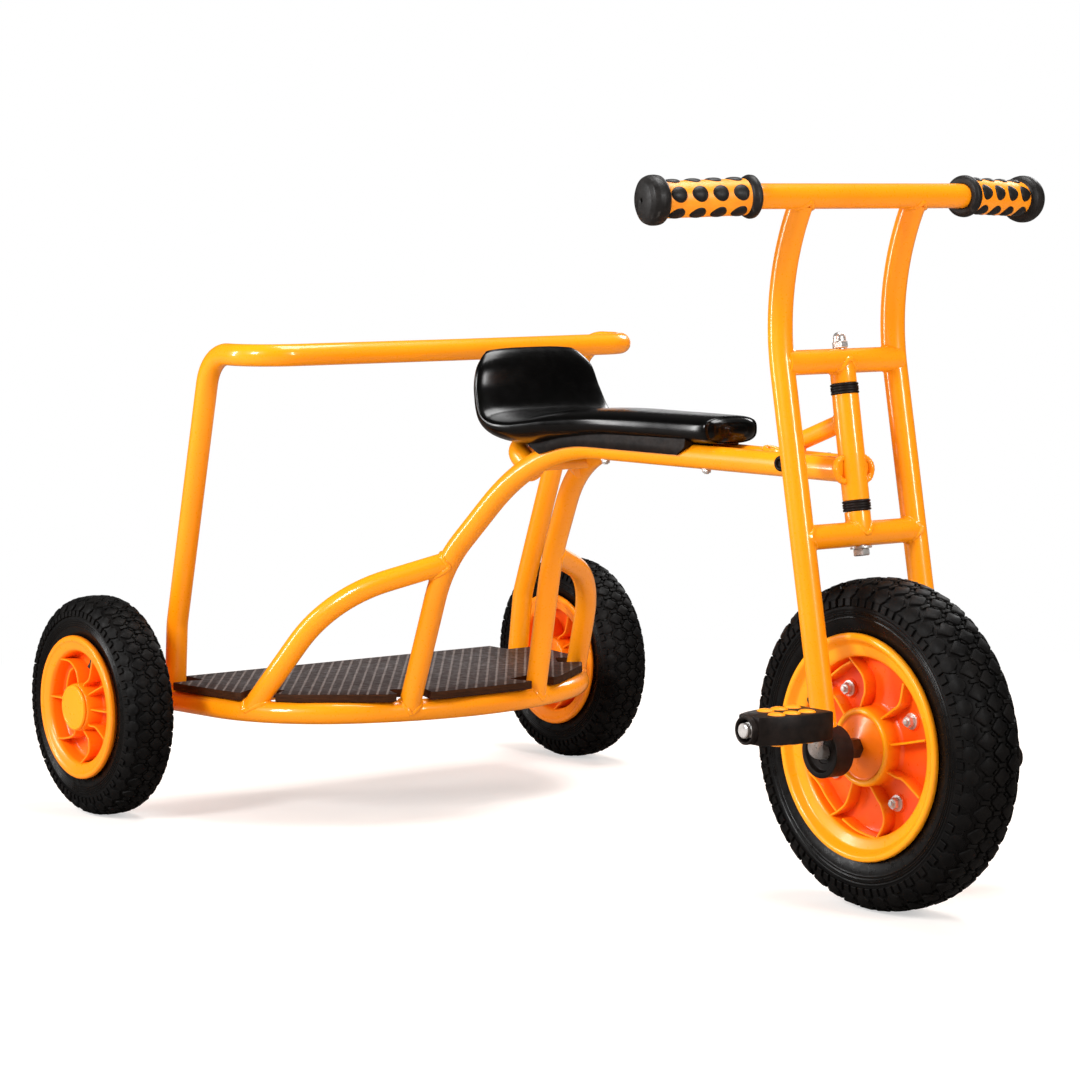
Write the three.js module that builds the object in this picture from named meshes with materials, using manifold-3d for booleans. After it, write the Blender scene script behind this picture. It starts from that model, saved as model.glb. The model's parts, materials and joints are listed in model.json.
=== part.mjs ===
// Children's tricycle. Millimetres, +X forward, +Y to the rider's left, +Z up.
// The origin is on the ground in the middle of the overall length and width.
import * as THREE from 'three';
import { mergeVertices } from 'three/addons/utils/BufferGeometryUtils.js';
import Module from 'manifold-3d';

const wasm = await Module();
wasm.setup();

// ---- driving dimensions ----
const GAP = 0.3;
const TUBE_R = 12;
const WHEELBASE = 925;
const FRONT_R = 160;
const REAR_R = 122.5;
const REAR_TRACK = 660;
const FRONT_X = (WHEELBASE + REAR_R - FRONT_R) / 2;
const REAR_X = FRONT_X - WHEELBASE;
const RAKE = 9.2 * Math.PI / 180;
const AXIS_X = FRONT_X - 37;
const AXIS_Z = 359.4;
const CROSS_SPACING = 167.2;
const LEG_Y = 72.3;
const LEG_TILT = 10.4 * Math.PI / 180;
const LEG_BOW_R = 240;
const LEG_BOW_X = FRONT_X - 70.5;
const LEG_BOW_Z = 560;
const BAR_Z = 682;
const BAR_X = LEG_BOW_X + LEG_BOW_R * (1 - Math.cos(Math.asin((BAR_Z - LEG_BOW_Z) / LEG_BOW_R)));
const BAR_SWEEP = 11 * Math.PI / 180;
const BAR_BEND_Y = 125;
const GRIP_START = 7;
const GRIP_LENGTH = 119;
const HOUSING_R = 24.6;
const HOUSING_W = 22.6;
const CRANK_ROD_R = 7;
const CRANK_R = 43;
const CRANK_ANGLE = 36 * Math.PI / 180;
const ARM_Y = 98;
const PEDAL_IN_Y = 112;
const PEDAL_OUT_Y = 194;
const SHAFT_R = 6;
const BASE_Z = REAR_R;
const MAIN_Z = 424;
const BOARD_T = 9;
const RAIL_Z = 516;

// ---- colours ----
const PAINT = '#f6a21c';
const RIM_ORANGE = '#f28a1e';
const BLACK = '#17171a';
const RUBBER = '#1c1c1d';
const STEEL = '#b9bcc0';
const BOARD_BROWN = '#453c3b';

const V = (x, y, z) => new THREE.Vector3(x, y, z);
const axisPoint = (s) => V(AXIS_X - s * Math.sin(RAKE), 0, AXIS_Z + s * Math.cos(RAKE));

// ---- paths ----
// Straight runs joined by true arcs; u is spread evenly over the steps, not over the length.
class BentPath extends THREE.Curve {
  constructor(corners, arcStep = 15 * Math.PI / 180) {
    super();
    this.stations = [corners[0].p];
    for (let i = 1; i < corners.length - 1; i++) {
      this.addArc(corners[i - 1].p, corners[i].p, corners[i + 1].p, corners[i].r, arcStep);
    }
    this.stations.push(corners[corners.length - 1].p);
  }

  addArc(before, corner, after, radius, arcStep) {
    const back = before.clone().sub(corner).normalize();
    const ahead = after.clone().sub(corner).normalize();
    const half = back.angleTo(ahead) / 2;
    const turn = Math.PI - 2 * half;
    const bisector = back.clone().add(ahead).normalize();
    const centre = corner.clone().addScaledVector(bisector, radius / Math.sin(half));
    const start = corner.clone().addScaledVector(back, radius / Math.tan(half)).sub(centre);
    const axis = V(0, 0, 0).crossVectors(back, ahead).normalize().negate();
    const count = Math.max(3, Math.ceil(turn / arcStep));
    for (let k = 0; k <= count; k++) {
      this.stations.push(start.clone().applyAxisAngle(axis, turn * k / count).add(centre));
    }
  }

  get steps() {
    return this.stations.length - 1;
  }

  getUtoTmapping(u) {
    return u;
  }

  getPoint(t) {
    const along = Math.min(Math.max(t, 0), 1) * this.steps;
    const i = Math.min(Math.floor(along), this.steps - 1);
    return this.stations[i].clone().lerp(this.stations[i + 1], along - i);
  }

  getTangentAt(u) {
    const i = Math.round(u * this.steps);
    const before = this.stations[Math.max(i - 1, 0)];
    const here = this.stations[i];
    const after = this.stations[Math.min(i + 1, this.steps)];
    const inward = here.clone().sub(before).normalize();
    const outward = after.clone().sub(here).normalize();
    return inward.add(outward).normalize();
  }
}

function disc(radius, sides) {
  const shape = new THREE.Shape();
  for (let i = 0; i < sides; i++) {
    const a = 2 * Math.PI * i / sides;
    shape[i ? 'lineTo' : 'moveTo'](radius * Math.cos(a), radius * Math.sin(a));
  }
  return shape;
}

function bentTube(corners, radius = TUBE_R, sides = 12, arcStep = undefined) {
  const path = new BentPath(corners, arcStep);
  return weld(new THREE.ExtrudeGeometry(disc(radius, sides), { steps: path.steps, extrudePath: path }));
}

function rod(from, to, radius = TUBE_R, sides = 12) {
  const length = from.distanceTo(to);
  const geometry = new THREE.CylinderGeometry(radius, radius, length, sides);
  geometry.applyQuaternion(new THREE.Quaternion().setFromUnitVectors(V(0, 1, 0), to.clone().sub(from).normalize()));
  geometry.translate((from.x + to.x) / 2, (from.y + to.y) / 2, (from.z + to.z) / 2);
  return weld(geometry);
}

// ---- solids ----
function signedVolume(geometry) {
  const p = geometry.attributes.position;
  const index = geometry.index;
  const [a, b, c] = [V(0, 0, 0), V(0, 0, 0), V(0, 0, 0)];
  let sum = 0;
  for (let i = 0; i < index.count; i += 3) {
    a.fromBufferAttribute(p, index.getX(i));
    b.fromBufferAttribute(p, index.getX(i + 1));
    c.fromBufferAttribute(p, index.getX(i + 2));
    sum += a.dot(b.cross(c));
  }
  return sum / 6;
}

function weld(geometry) {
  geometry.deleteAttribute('normal');
  geometry.deleteAttribute('uv');
  const welded = mergeVertices(geometry, 1e-4);
  if (signedVolume(welded) < 0) {
    const list = welded.index.array;
    for (let i = 0; i < list.length; i += 3) {
      [list[i], list[i + 1]] = [list[i + 1], list[i]];
    }
  }
  return welded;
}

function toManifold(geometry) {
  return new wasm.Manifold(new wasm.Mesh({
    numProp: 3,
    vertProperties: Float32Array.from(geometry.attributes.position.array),
    triVerts: Uint32Array.from(geometry.index.array),
  }));
}

function fromManifold(body) {
  const mesh = body.getMesh();
  const geometry = new THREE.BufferGeometry();
  geometry.setAttribute('position', new THREE.BufferAttribute(Float32Array.from(mesh.vertProperties), 3));
  geometry.setIndex(new THREE.BufferAttribute(Uint32Array.from(mesh.triVerts), 1));
  return geometry;
}

function cut(geometry, ...tools) {
  return fromManifold(tools.reduce((body, tool) => body.subtract(toManifold(tool)), toManifold(geometry)));
}

function join(...geometries) {
  return fromManifold(geometries.map(toManifold).reduce((a, b) => a.add(b)));
}

// Closed profile of [radius, along] pairs turned about the Y axis through (x, y, z).
function turned(profile, at, sides) {
  const points = [...profile, profile[0]].map(([r, y]) => new THREE.Vector2(r, y));
  const geometry = new THREE.LatheGeometry(points, sides);
  geometry.translate(at.x, at.y, at.z);
  return weld(geometry);
}

// Solid turned profile whose first and last points lie on the axis from `at` along `axis`.
function turnedAlong(profile, at, axis, sides) {
  const geometry = new THREE.LatheGeometry(profile.map(([r, y]) => new THREE.Vector2(r, y)), sides);
  geometry.applyQuaternion(new THREE.Quaternion().setFromUnitVectors(V(0, 1, 0), axis));
  geometry.translate(at.x, at.y, at.z);
  return weld(geometry);
}

function ringAlong(outer, inner, length, at, axis, sides) {
  const profile = [[inner, 0], [outer, 0], [outer, length], [inner, length], [inner, 0]];
  return turnedAlong(profile, at, axis, sides);
}

function prism(outline, bottom, top) {
  const shape = new THREE.Shape(outline.map(([x, y]) => new THREE.Vector2(x, y)));
  const geometry = new THREE.ExtrudeGeometry(shape, { depth: top - bottom, bevelEnabled: false });
  geometry.translate(0, 0, bottom);
  return weld(geometry);
}

function material(color, roughness, metalness = 0) {
  return new THREE.MeshStandardMaterial({ color, roughness, metalness });
}

// ---- frame paths; side is -1 for the right and +1 for the left ----
const RING_END_Y = 248;

// Point on a tube's centre line where its y or z passes a value.
function pointWhere(corners, key, value) {
  const line = new BentPath(corners).stations;
  const i = line.findIndex((p, k) => k > 0 && (p[key] - value) * (line[k - 1][key] - value) <= 0);
  const share = (value - line[i - 1][key]) / (line[i][key] - line[i - 1][key]);
  return line[i - 1].clone().lerp(line[i], share);
}

function ringPath() {
  return [
    { p: V(REAR_X, -RING_END_Y, BASE_Z) },
    { p: V(FRONT_X - 739, -229, BASE_Z), r: 170 },
    { p: V(FRONT_X - 626, 0, BASE_Z), r: 322 },
    { p: V(FRONT_X - 739, 229, BASE_Z), r: 170 },
    { p: V(REAR_X, RING_END_Y, BASE_Z) },
  ];
}

function mainPath(side) {
  const head = axisPoint((MAIN_Z - 3 - AXIS_Z) / Math.cos(RAKE));
  return [
    { p: V(head.x, side * 12.4, MAIN_Z - 3) },
    { p: V(FRONT_X - 509, side * 29.5, MAIN_Z), r: 195 },
    { p: V(FRONT_X - 625, side * 74, 286.5), r: 172 },
    { p: pointWhere(ringPath(), 'y', side * 87) },
  ];
}

function bracePath(side) {
  return [
    { p: pointWhere(mainPath(side), 'z', 290) },
    { p: V(FRONT_X - 690, side * 179, 252), r: 168 },
    { p: pointWhere(ringPath(), 'y', side * 225) },
  ];
}

// Post, kink and post top; the top rail then runs forward and straight across.
function hoopPath(side) {
  return [
    { p: V(FRONT_X - 916, side * 240, BASE_Z) },
    { p: V(FRONT_X - 906, side * 242, 209), r: 60 },
    { p: V(FRONT_X - 803, side * 256, RAIL_Z), r: 50 },
    { p: V(FRONT_X - 704, side * 258, RAIL_Z), r: 48 },
    { p: V(FRONT_X - 695, 0, RAIL_Z), r: 900 },
  ];
}

function rearAxle() {
  const tubeEnd = REAR_TRACK / 2 - 42;
  const tube = rod(V(REAR_X, -tubeEnd, REAR_R), V(REAR_X, tubeEnd, REAR_R));
  const shaftEnd = REAR_TRACK / 2 + 26;
  return join(tube, rod(V(REAR_X, -shaftEnd, REAR_R), V(REAR_X, shaftEnd, REAR_R), SHAFT_R, 20));
}

// The same path with a slightly fatter tube, taken away from whatever is welded to it.
const clearOf = (path, radius = TUBE_R, sides = 12) => bentTube(path, radius + GAP, sides);

function clearOfHead() {
  return rod(axisPoint(20), axisPoint(150), TUBE_R + 1 + GAP, 20);
}

function clearOfAxle() {
  return rod(V(REAR_X, -300, REAR_R), V(REAR_X, 300, REAR_R), TUBE_R + GAP);
}

function clearOfRing() {
  return clearOf(ringPath());
}

// Height at which the sloping post hands over to the bent top rail.
function hoopSplit(side, extra = 0) {
  const [, kink, top] = hoopPath(side);
  const share = (RAIL_Z - 75 + extra - kink.p.z) / (top.p.z - kink.p.z);
  return kink.p.clone().lerp(top.p, share);
}

function hoopPost(side) {
  const path = [...hoopPath(side).slice(0, 2), { p: hoopSplit(side) }];
  return cut(bentTube(path), clearOfRing(), clearOfAxle());
}

function hoopRail() {
  const right = hoopPath(-1).slice(2);
  const left = hoopPath(1).slice(2, 4).reverse();
  return bentTube([{ p: hoopSplit(-1, GAP) }, ...right, ...left, { p: hoopSplit(1, GAP) }]);
}

function headTube() {
  return rod(axisPoint(32.4), axisPoint(134.8), TUBE_R + 1, 20);
}

function gussetTube() {
  const low = V(FRONT_X - 143, 0, MAIN_Z + 13);
  const high = axisPoint(110);
  const tools = [clearOfHead(), clearOf(mainPath(-1)), clearOf(mainPath(1))];
  return cut(rod(low, high, 9, 14), ...tools);
}

const CROSS_TUBE_R = 8;

function crossRod(radius) {
  const x = FRONT_X - 503;
  return rod(V(x, -40, 402), V(x, 40, 402), radius, 12);
}

function seatCrossTube() {
  return cut(crossRod(CROSS_TUBE_R), clearOf(mainPath(-1)), clearOf(mainPath(1)));
}

// Small tube behind the main tubes that carries the rear of the seat.
const BOW_R = 12;
const BOW_PATH = [
  { p: V(FRONT_X - 513, -33, 392) },
  { p: V(FRONT_X - 553, -33, 418), r: 22 },
  { p: V(FRONT_X - 553, 33, 418), r: 22 },
  { p: V(FRONT_X - 513, 33, 392) },
];

function seatBow() {
  const tubes = [clearOf(mainPath(-1)), clearOf(mainPath(1)), crossRod(CROSS_TUBE_R + GAP)];
  return cut(bentTube(BOW_PATH, BOW_R, 12), ...tubes);
}

// ---- platform ----
function boardOutline() {
  const half = [
    [REAR_X - 11, 214], [REAR_X + 27, 214], [REAR_X + 27, 253], [REAR_X + 45, 253],
    [FRONT_X - 788, 240], [FRONT_X - 729, 196], [FRONT_X - 670, 118], [FRONT_X - 653, 55],
  ];
  const mirrored = half.map(([x, y]) => [x, -y]).reverse();
  return [...half, ...mirrored];
}

function platformBoard() {
  const bottom = BASE_Z + TUBE_R + GAP;
  const slots = [-1, 1].flatMap((side) => [notch(mainPath(side), bottom), notch(bracePath(side), bottom)]);
  return cut(prism(boardOutline(), bottom, bottom + BOARD_T), ...slots);
}

// Square slot from a tube's foot straight out over the rim of the board.
function notch(path, bottom) {
  const foot = path[path.length - 1].p;
  const slope = path[path.length - 2].p.clone().sub(foot);
  const at = foot.clone().addScaledVector(slope, (bottom + BOARD_T / 2 - foot.z) / slope.z);
  const outward = Math.atan2(foot.y, foot.x - REAR_X);
  const geometry = new THREE.BoxGeometry(94, 2 * TUBE_R + 16, BOARD_T + 4);
  geometry.translate(47 - TUBE_R - 12, 0, 0);
  geometry.rotateZ(outward);
  geometry.translate(at.x, at.y, bottom + BOARD_T / 2);
  return weld(geometry);
}

function boardStrap() {
  const box = new THREE.BoxGeometry(30, 2 * RING_END_Y - 48, 12);
  box.translate(FRONT_X - 850, 0, BASE_Z + 6);
  return cut(weld(box), clearOfRing());
}

// ---- seat ----
// Stations along the middle of the shell: x and z, half width, height above and depth below.
const SEAT_STATIONS = [
  [-221, 449.8, 24, 10, 10], [-227, 449.8, 32, 13.3, 13.3], [-243, 449.8, 38, 14.3, 14.3],
  [-330, 450, 42, 14.6, 14.6], [-400, 449.8, 51, 14.8, 14.8], [-456, 447, 69, 15, 17.5],
  [-503, 443, 83, 13, 22], [-535, 450.5, 87, 11, 24], [-551, 477, 83.5, 11, 16.5],
  [-557, 500, 77.5, 11, 12], [-562, 513, 67, 9, 9], [-566, 519.5, 58, 6, 6],
];

function seatShell() {
  const rows = 26;
  const around = 20;
  const spine = new THREE.CatmullRomCurve3(SEAT_STATIONS.map(([x, z]) => V(FRONT_X + x, 0, z)));
  const sizes = new THREE.CatmullRomCurve3(SEAT_STATIONS.map(([, , w, over, under]) => V(w, over, under)));
  const positions = [];
  const index = [];
  for (let i = 0; i <= rows; i++) {
    const centre = spine.getPoint(i / rows);
    const along = spine.getTangent(i / rows);
    const up = V(along.z, 0, -along.x);
    const size = sizes.getPoint(i / rows);
    for (let k = 0; k < around; k++) {
      const a = 2 * Math.PI * k / around;
      const across = size.x * Math.sign(Math.cos(a)) * Math.abs(Math.cos(a)) ** 0.72;
      const lift = Math.abs(Math.sin(a)) ** 0.72 * (Math.sin(a) > 0 ? size.y : -size.z);
      const p = centre.clone().addScaledVector(up, lift);
      positions.push(p.x, across, p.z);
    }
  }
  for (let i = 0; i < rows; i++) {
    for (let k = 0; k < around; k++) {
      const a = i * around + k;
      const b = i * around + (k + 1) % around;
      index.push(a, b, b + around, a, b + around, a + around);
    }
  }
  for (let k = 1; k < around - 1; k++) {
    const last = rows * around;
    index.push(0, k + 1, k, last, last + k, last + k + 1);
  }
  const geometry = new THREE.BufferGeometry();
  geometry.setAttribute('position', new THREE.Float32BufferAttribute(positions, 3));
  geometry.setIndex(index);
  const tubes = [clearOf(mainPath(-1)), clearOf(mainPath(1)), clearOf(BOW_PATH, BOW_R)];
  return cut(weldIndexed(geometry), ...tubes);
}

function weldIndexed(geometry) {
  const welded = mergeVertices(geometry, 1e-4);
  if (signedVolume(welded) < 0) {
    const list = welded.index.array;
    for (let i = 0; i < list.length; i += 3) {
      [list[i], list[i + 1]] = [list[i + 1], list[i]];
    }
  }
  return welded;
}

// The saddle under the shell: a plan outline crossed with a side outline that follows the tubes.
function seatBase(shell) {
  const half = [[-512, 46], [-300, 38], [-256, 34]];
  const right = half.map(([x, y]) => [FRONT_X + x, -y]);
  const left = half.map(([x, y]) => [FRONT_X + x, y]).reverse();
  const plan = prism([...right, ...left], MAIN_Z - 14, MAIN_Z + 20);
  const profile = [
    [-494, 415.5], [-455, 422.5], [-400, 425.5], [-270, 425.5], [-256, 435], [-256, 444], [-510, 444], [-510, 423],
  ];
  const side = prism(profile.map(([x, z]) => [FRONT_X + x, z]), -50, 50);
  side.rotateX(Math.PI / 2);
  const block = fromManifold(toManifold(plan).intersect(toManifold(side)));
  const grown = shell.clone();
  grown.translate(0, 0, -GAP);
  const tubes = [clearOf(mainPath(-1)), clearOf(mainPath(1)), clearOf(BOW_PATH, BOW_R)];
  return cut(block, grown, shell, ...tubes);
}

function seatBolt(x, side) {
  const onTube = pointWhere(mainPath(side), 'x', FRONT_X + x);
  const top = onTube.z - TUBE_R + 2;
  const profile = [[0, 0], [6, 0], [6, -4], [3.5, -5], [3.5, -8], [0, -8]];
  return turnedAlong(profile, V(FRONT_X + x, onTube.y, top), V(0, 0, 1), 12);
}

function buffer(side) {
  const y = side * 14.6;
  const profile = [[0, 0], [8, 0], [8, 17], [6.5, 20], [3.5, 20], [3.5, 17], [0, 17]];
  const body = turnedAlong(profile, V(FRONT_X - 116, y, MAIN_Z), V(0, side, 0), 20);
  return cut(body, clearOf(mainPath(side)));
}

// ---- steering ----
function legPath(side) {
  const start = Math.asin((BAR_Z - LEG_BOW_Z) / LEG_BOW_R);
  const bow = (a) => V(LEG_BOW_X + LEG_BOW_R * (1 - Math.cos(a)), side * LEG_Y, LEG_BOW_Z + LEG_BOW_R * Math.sin(a));
  const low = bow(-LEG_TILT);
  const high = bow(start);
  const drop = (low.z - FRONT_R) / Math.cos(LEG_TILT);
  const foot = low.clone().add(V(Math.sin(LEG_TILT) * drop, 0, -Math.cos(LEG_TILT) * drop));
  const half = (start + LEG_TILT) / 2;
  const reach = LEG_BOW_R * Math.tan(half);
  const corner = low.clone().add(V(-Math.sin(LEG_TILT) * reach, 0, Math.cos(LEG_TILT) * reach));
  const beyond = high.clone().sub(corner).normalize();
  return [{ p: foot }, { p: corner, r: LEG_BOW_R }, { p: high.clone().addScaledVector(beyond, 0.5) }];
}

function barPath() {
  const end = (side) => {
    const reach = GRIP_START + GRIP_LENGTH - 6;
    return V(BAR_X - Math.sin(BAR_SWEEP) * reach, side * (BAR_BEND_Y + Math.cos(BAR_SWEEP) * reach), BAR_Z - 3.5);
  };
  return [
    { p: end(-1) },
    { p: V(BAR_X, -BAR_BEND_Y, BAR_Z), r: 45 },
    { p: V(BAR_X, BAR_BEND_Y, BAR_Z), r: 45 },
    { p: end(1) },
  ];
}

function handlebar() {
  return bentTube(barPath(), TUBE_R, 14, 6 * Math.PI / 180);
}

function forkLeg(side) {
  const housing = rod(V(FRONT_X, side * 55, FRONT_R), V(FRONT_X, side * 90, FRONT_R), HOUSING_R + GAP, 28);
  const bar = rod(V(BAR_X, -100, BAR_Z), V(BAR_X, 100, BAR_Z), TUBE_R + GAP, 16);
  return cut(bentTube(legPath(side)), bar, housing);
}

function forkCross(s, stubFrom, stubTo) {
  const at = axisPoint(s);
  const tube = rod(V(at.x, -LEG_Y, at.z), V(at.x, LEG_Y, at.z));
  const stub = rod(axisPoint(stubFrom), axisPoint(stubTo), TUBE_R + 0.5, 16);
  const bore = rod(axisPoint(-40), axisPoint(CROSS_SPACING + 40), 5 + GAP, 16);
  return cut(join(tube, stub), clearOf(legPath(-1)), clearOf(legPath(1)), bore);
}

const UP = V(-Math.sin(RAKE), 0, Math.cos(RAKE));

function headBush(s) {
  const profile = [[5.4, 0], [13.6, 0], [13.6, 4.8], [5.4, 4.8], [5.4, 0]];
  return turnedAlong(profile, axisPoint(s), UP, 20);
}

function steeringBolt() {
  return rod(axisPoint(-21), axisPoint(CROSS_SPACING + 23), 5, 16);
}

function domeNut() {
  const base = axisPoint(CROSS_SPACING + 12.4);
  const hexagon = rod(base, axisPoint(CROSS_SPACING + 20.4), 7.8, 6);
  const dome = turnedAlong([[0, 6], [6.3, 6], [6.3, 11], [5, 14], [2.8, 15.6], [0, 16]], base, UP, 16);
  const bore = rod(axisPoint(CROSS_SPACING), axisPoint(CROSS_SPACING + 23.4), 5 + GAP, 16);
  return cut(join(hexagon, dome), bore);
}

function lowerNut() {
  const washer = ringAlong(10, 5.3, 2.5, axisPoint(-14.8), UP, 16);
  const nut = rod(axisPoint(-21.3), axisPoint(-14.6), 7.8, 6);
  return cut(join(washer, nut), rod(axisPoint(-30), axisPoint(0), 5 + GAP, 16));
}

function gripAxis(side) {
  const [, bend] = barPath();
  const corner = V(bend.p.x, side * BAR_BEND_Y, BAR_Z);
  const end = barPath()[side < 0 ? 0 : 3].p;
  return { corner, dir: end.clone().sub(corner).normalize() };
}

// Rubber grip: flange, core, domed end cap, slipped over the bar.
function grip(side) {
  const { corner, dir } = gripAxis(side);
  const at = corner.clone().addScaledVector(dir, GRIP_START);
  const r = TUBE_R + GAP;
  const profile = [
    [r, 0], [19, 0], [20, 3], [20, 7], [16.2, 10], [16.2, 99], [21.5, 101], [23, 105],
    [23, 112], [20, 117], [0, 119], [0, 114], [r, 114], [r, 0],
  ];
  return cut(turnedAlong(profile, at, dir, 20), sleeveRing(side, GAP));
}

function sleeveRing(side, grow = 0) {
  const { corner, dir } = gripAxis(side);
  const at = corner.clone().addScaledVector(dir, GRIP_START + 14 - grow);
  return ringAlong(17.4 + grow * 3, 14 - grow, 81 + 2 * grow, at, dir, 20);
}

function housing(side) {
  const inner = side < 0 ? -LEG_Y - HOUSING_W / 2 : LEG_Y - HOUSING_W / 2;
  const near = CRANK_ROD_R + GAP;
  const w = HOUSING_W;
  const recess = 5;
  const outerFace = side < 0 ? 0 : w;
  const innerFace = w - outerFace;
  const step = side < 0 ? recess : -recess;
  const loop = [
    [near, innerFace], [HOUSING_R, innerFace], [HOUSING_R, outerFace], [HOUSING_R - 4, outerFace],
    [HOUSING_R - 5, outerFace + step], [near, outerFace + step],
  ];
  return turned(loop, V(FRONT_X, inner, FRONT_R), 28);
}

// ---- wheels ----
function tyre(x, y, radius, bead, halfWidth, lip, sides) {
  const crown = radius;
  const mid = (radius + bead) / 2;
  const half = [
    [bead, halfWidth * 0.55], [bead + 6, lip], [mid, halfWidth], [mid + 12, halfWidth * 0.98],
    [crown - 7, halfWidth * 0.76], [crown, halfWidth * 0.3],
  ];
  const far = half.map(([r, w]) => [r, -w]).reverse();
  return turned([...half, ...far], V(x, y, radius), sides);
}

function frontRim() {
  const half = [
    [CRANK_ROD_R + GAP, 50], [15, 50], [15, 34], [38, 35], [38, 25], [43, 14], [88, 14],
    [93, 33], [101, 39], [109, 39], [101, 30], [101, 8],
  ];
  const far = half.map(([r, w]) => [r, -w]).reverse();
  return turned([...half, ...far], V(FRONT_X, 0, FRONT_R), 36);
}

function rearRim(side) {
  const half = [
    [SHAFT_R + GAP, 33], [26, 33], [26, 24], [34, 13], [62, 13], [66, 28], [71, 34],
    [79.5, 34], [73, 25], [73, 7],
  ];
  const far = half.map(([r, w]) => [r, -w]).reverse();
  return turned([...half, ...far], V(REAR_X, side * REAR_TRACK / 2, REAR_R), 28);
}

function hubCap(side) {
  const at = V(REAR_X, side * (REAR_TRACK / 2 + 33.3), REAR_R);
  return turnedAlong([[0, 0], [26, 0], [26, 2.6], [0, 4.6]], at, V(0, side, 0), 24);
}

function valve() {
  const a = 155 * Math.PI / 180;
  const out = V(Math.cos(a), 0, Math.sin(a));
  const at = V(FRONT_X, -23, FRONT_R).addScaledVector(out, 89);
  const inward = V(0, -0.34, 0).addScaledVector(out, -0.94).normalize();
  return turnedAlong([[0, 0], [4.5, 0], [4.5, 12], [3.2, 14], [3.2, 24], [0, 24]], at, inward, 12);
}

function crankAxle() {
  const throwDir = V(Math.sin(CRANK_ANGLE), 0, Math.cos(CRANK_ANGLE));
  const centre = V(FRONT_X, 0, FRONT_R);
  const at = (y, r) => centre.clone().addScaledVector(throwDir, r).add(V(0, y, 0));
  const corners = [
    { p: at(-PEDAL_OUT_Y - 5, CRANK_R) },
    { p: at(-ARM_Y - 8, CRANK_R), r: 10 },
    { p: at(-ARM_Y + 8, 0), r: 10 },
    { p: at(ARM_Y - 8, 0), r: 10 },
    { p: at(ARM_Y + 8, -CRANK_R), r: 10 },
    { p: at(PEDAL_OUT_Y + 5, -CRANK_R) },
  ];
  const bent = bentTube(corners, CRANK_ROD_R, 14, 20 * Math.PI / 180);
  const collar = (y) => rod(V(FRONT_X, y, FRONT_R), V(FRONT_X, y + 8, FRONT_R), 10.5, 6);
  return join(bent, collar(-59), collar(51));
}

// ---- pedals ----
function pedalCentre(side) {
  const r = side < 0 ? CRANK_R : -CRANK_R;
  return V(FRONT_X + r * Math.sin(CRANK_ANGLE), 0, FRONT_R + r * Math.cos(CRANK_ANGLE));
}

function pedalOutline(side) {
  const shape = new THREE.Shape();
  const near = PEDAL_IN_Y + GAP;
  shape.moveTo(-28, near + 3);
  shape.quadraticCurveTo(-28, near, -25, near);
  shape.lineTo(25, near);
  shape.quadraticCurveTo(28, near, 28, near + 3);
  shape.bezierCurveTo(32, near + 30, 27, PEDAL_OUT_Y - 18, 14, PEDAL_OUT_Y - 2);
  shape.lineTo(-14, PEDAL_OUT_Y - 2);
  shape.bezierCurveTo(-27, PEDAL_OUT_Y - 18, -32, near + 30, -28, near + 3);
  return shape.getPoints(6).map((p) => [p.x, side * p.y]);
}

function pedalBody(side) {
  const c = pedalCentre(side);
  const block = prism(pedalOutline(side), -13, 13);
  const boss = rod(V(0, side * (PEDAL_OUT_Y - 14), 0), V(0, side * (PEDAL_OUT_Y + 3), 0), 13.3, 24);
  const body = join(block, boss);
  const bore = rod(V(0, side * 90, 0), V(0, side * 220, 0), CRANK_ROD_R + GAP, 20);
  const recess = rod(V(0, side * (PEDAL_OUT_Y - 6), 0), V(0, side * 220, 0), 10.4, 24);
  const cutBody = cut(body, bore, recess);
  cutBody.translate(c.x, 0, c.z);
  return cutBody;
}

function pedalTread(side) {
  const c = pedalCentre(side);
  const pad = prism([[-23, side * 120], [23, side * 120], [20, side * 172], [-20, side * 172]], 13.3, 15.3);
  pad.translate(c.x, 0, c.z);
  return pad;
}

function pedalNut(side) {
  const c = pedalCentre(side);
  const at = (y) => V(c.x, side * y, c.z);
  const hex = rod(at(PEDAL_OUT_Y - 5.4), at(PEDAL_OUT_Y + 1.6), 9.6, 6);
  return cut(hex, rod(at(PEDAL_OUT_Y - 20), at(PEDAL_OUT_Y + 20), CRANK_ROD_R + GAP, 16));
}

// ---- assembly ----
const assembly = new THREE.Group();
assembly.name = 'childrens_tricycle';

function add(name, geometry, look) {
  const mesh = new THREE.Mesh(geometry, look);
  mesh.name = name;
  assembly.add(mesh);
}

const paint = () => material(PAINT, 0.3);
const plastic = () => material(BLACK, 0.35);
const rubber = () => material(RUBBER, 0.8);
const steel = () => material(STEEL, 0.3, 1);
const rimPlastic = () => material(RIM_ORANGE, 0.4);
const sides = [['right', -1], ['left', 1]];

add('base_ring', cut(bentTube(ringPath()), clearOfAxle()), paint());
add('rear_axle', rearAxle(), paint());
add('hoop_rail', hoopRail(), paint());
add('head_tube', cut(headTube(), rod(axisPoint(0), axisPoint(160), 5 + GAP, 16)), paint());
add('gusset_tube', gussetTube(), paint());
add('seat_cross_tube', seatCrossTube(), paint());
add('seat_bow', seatBow(), paint());
add('platform_board', platformBoard(), material(BOARD_BROWN, 0.6));
add('board_strap', boardStrap(), paint());

const shell = seatShell();
add('seat_shell', shell, plastic());
add('seat_base', seatBase(shell), plastic());

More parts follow.
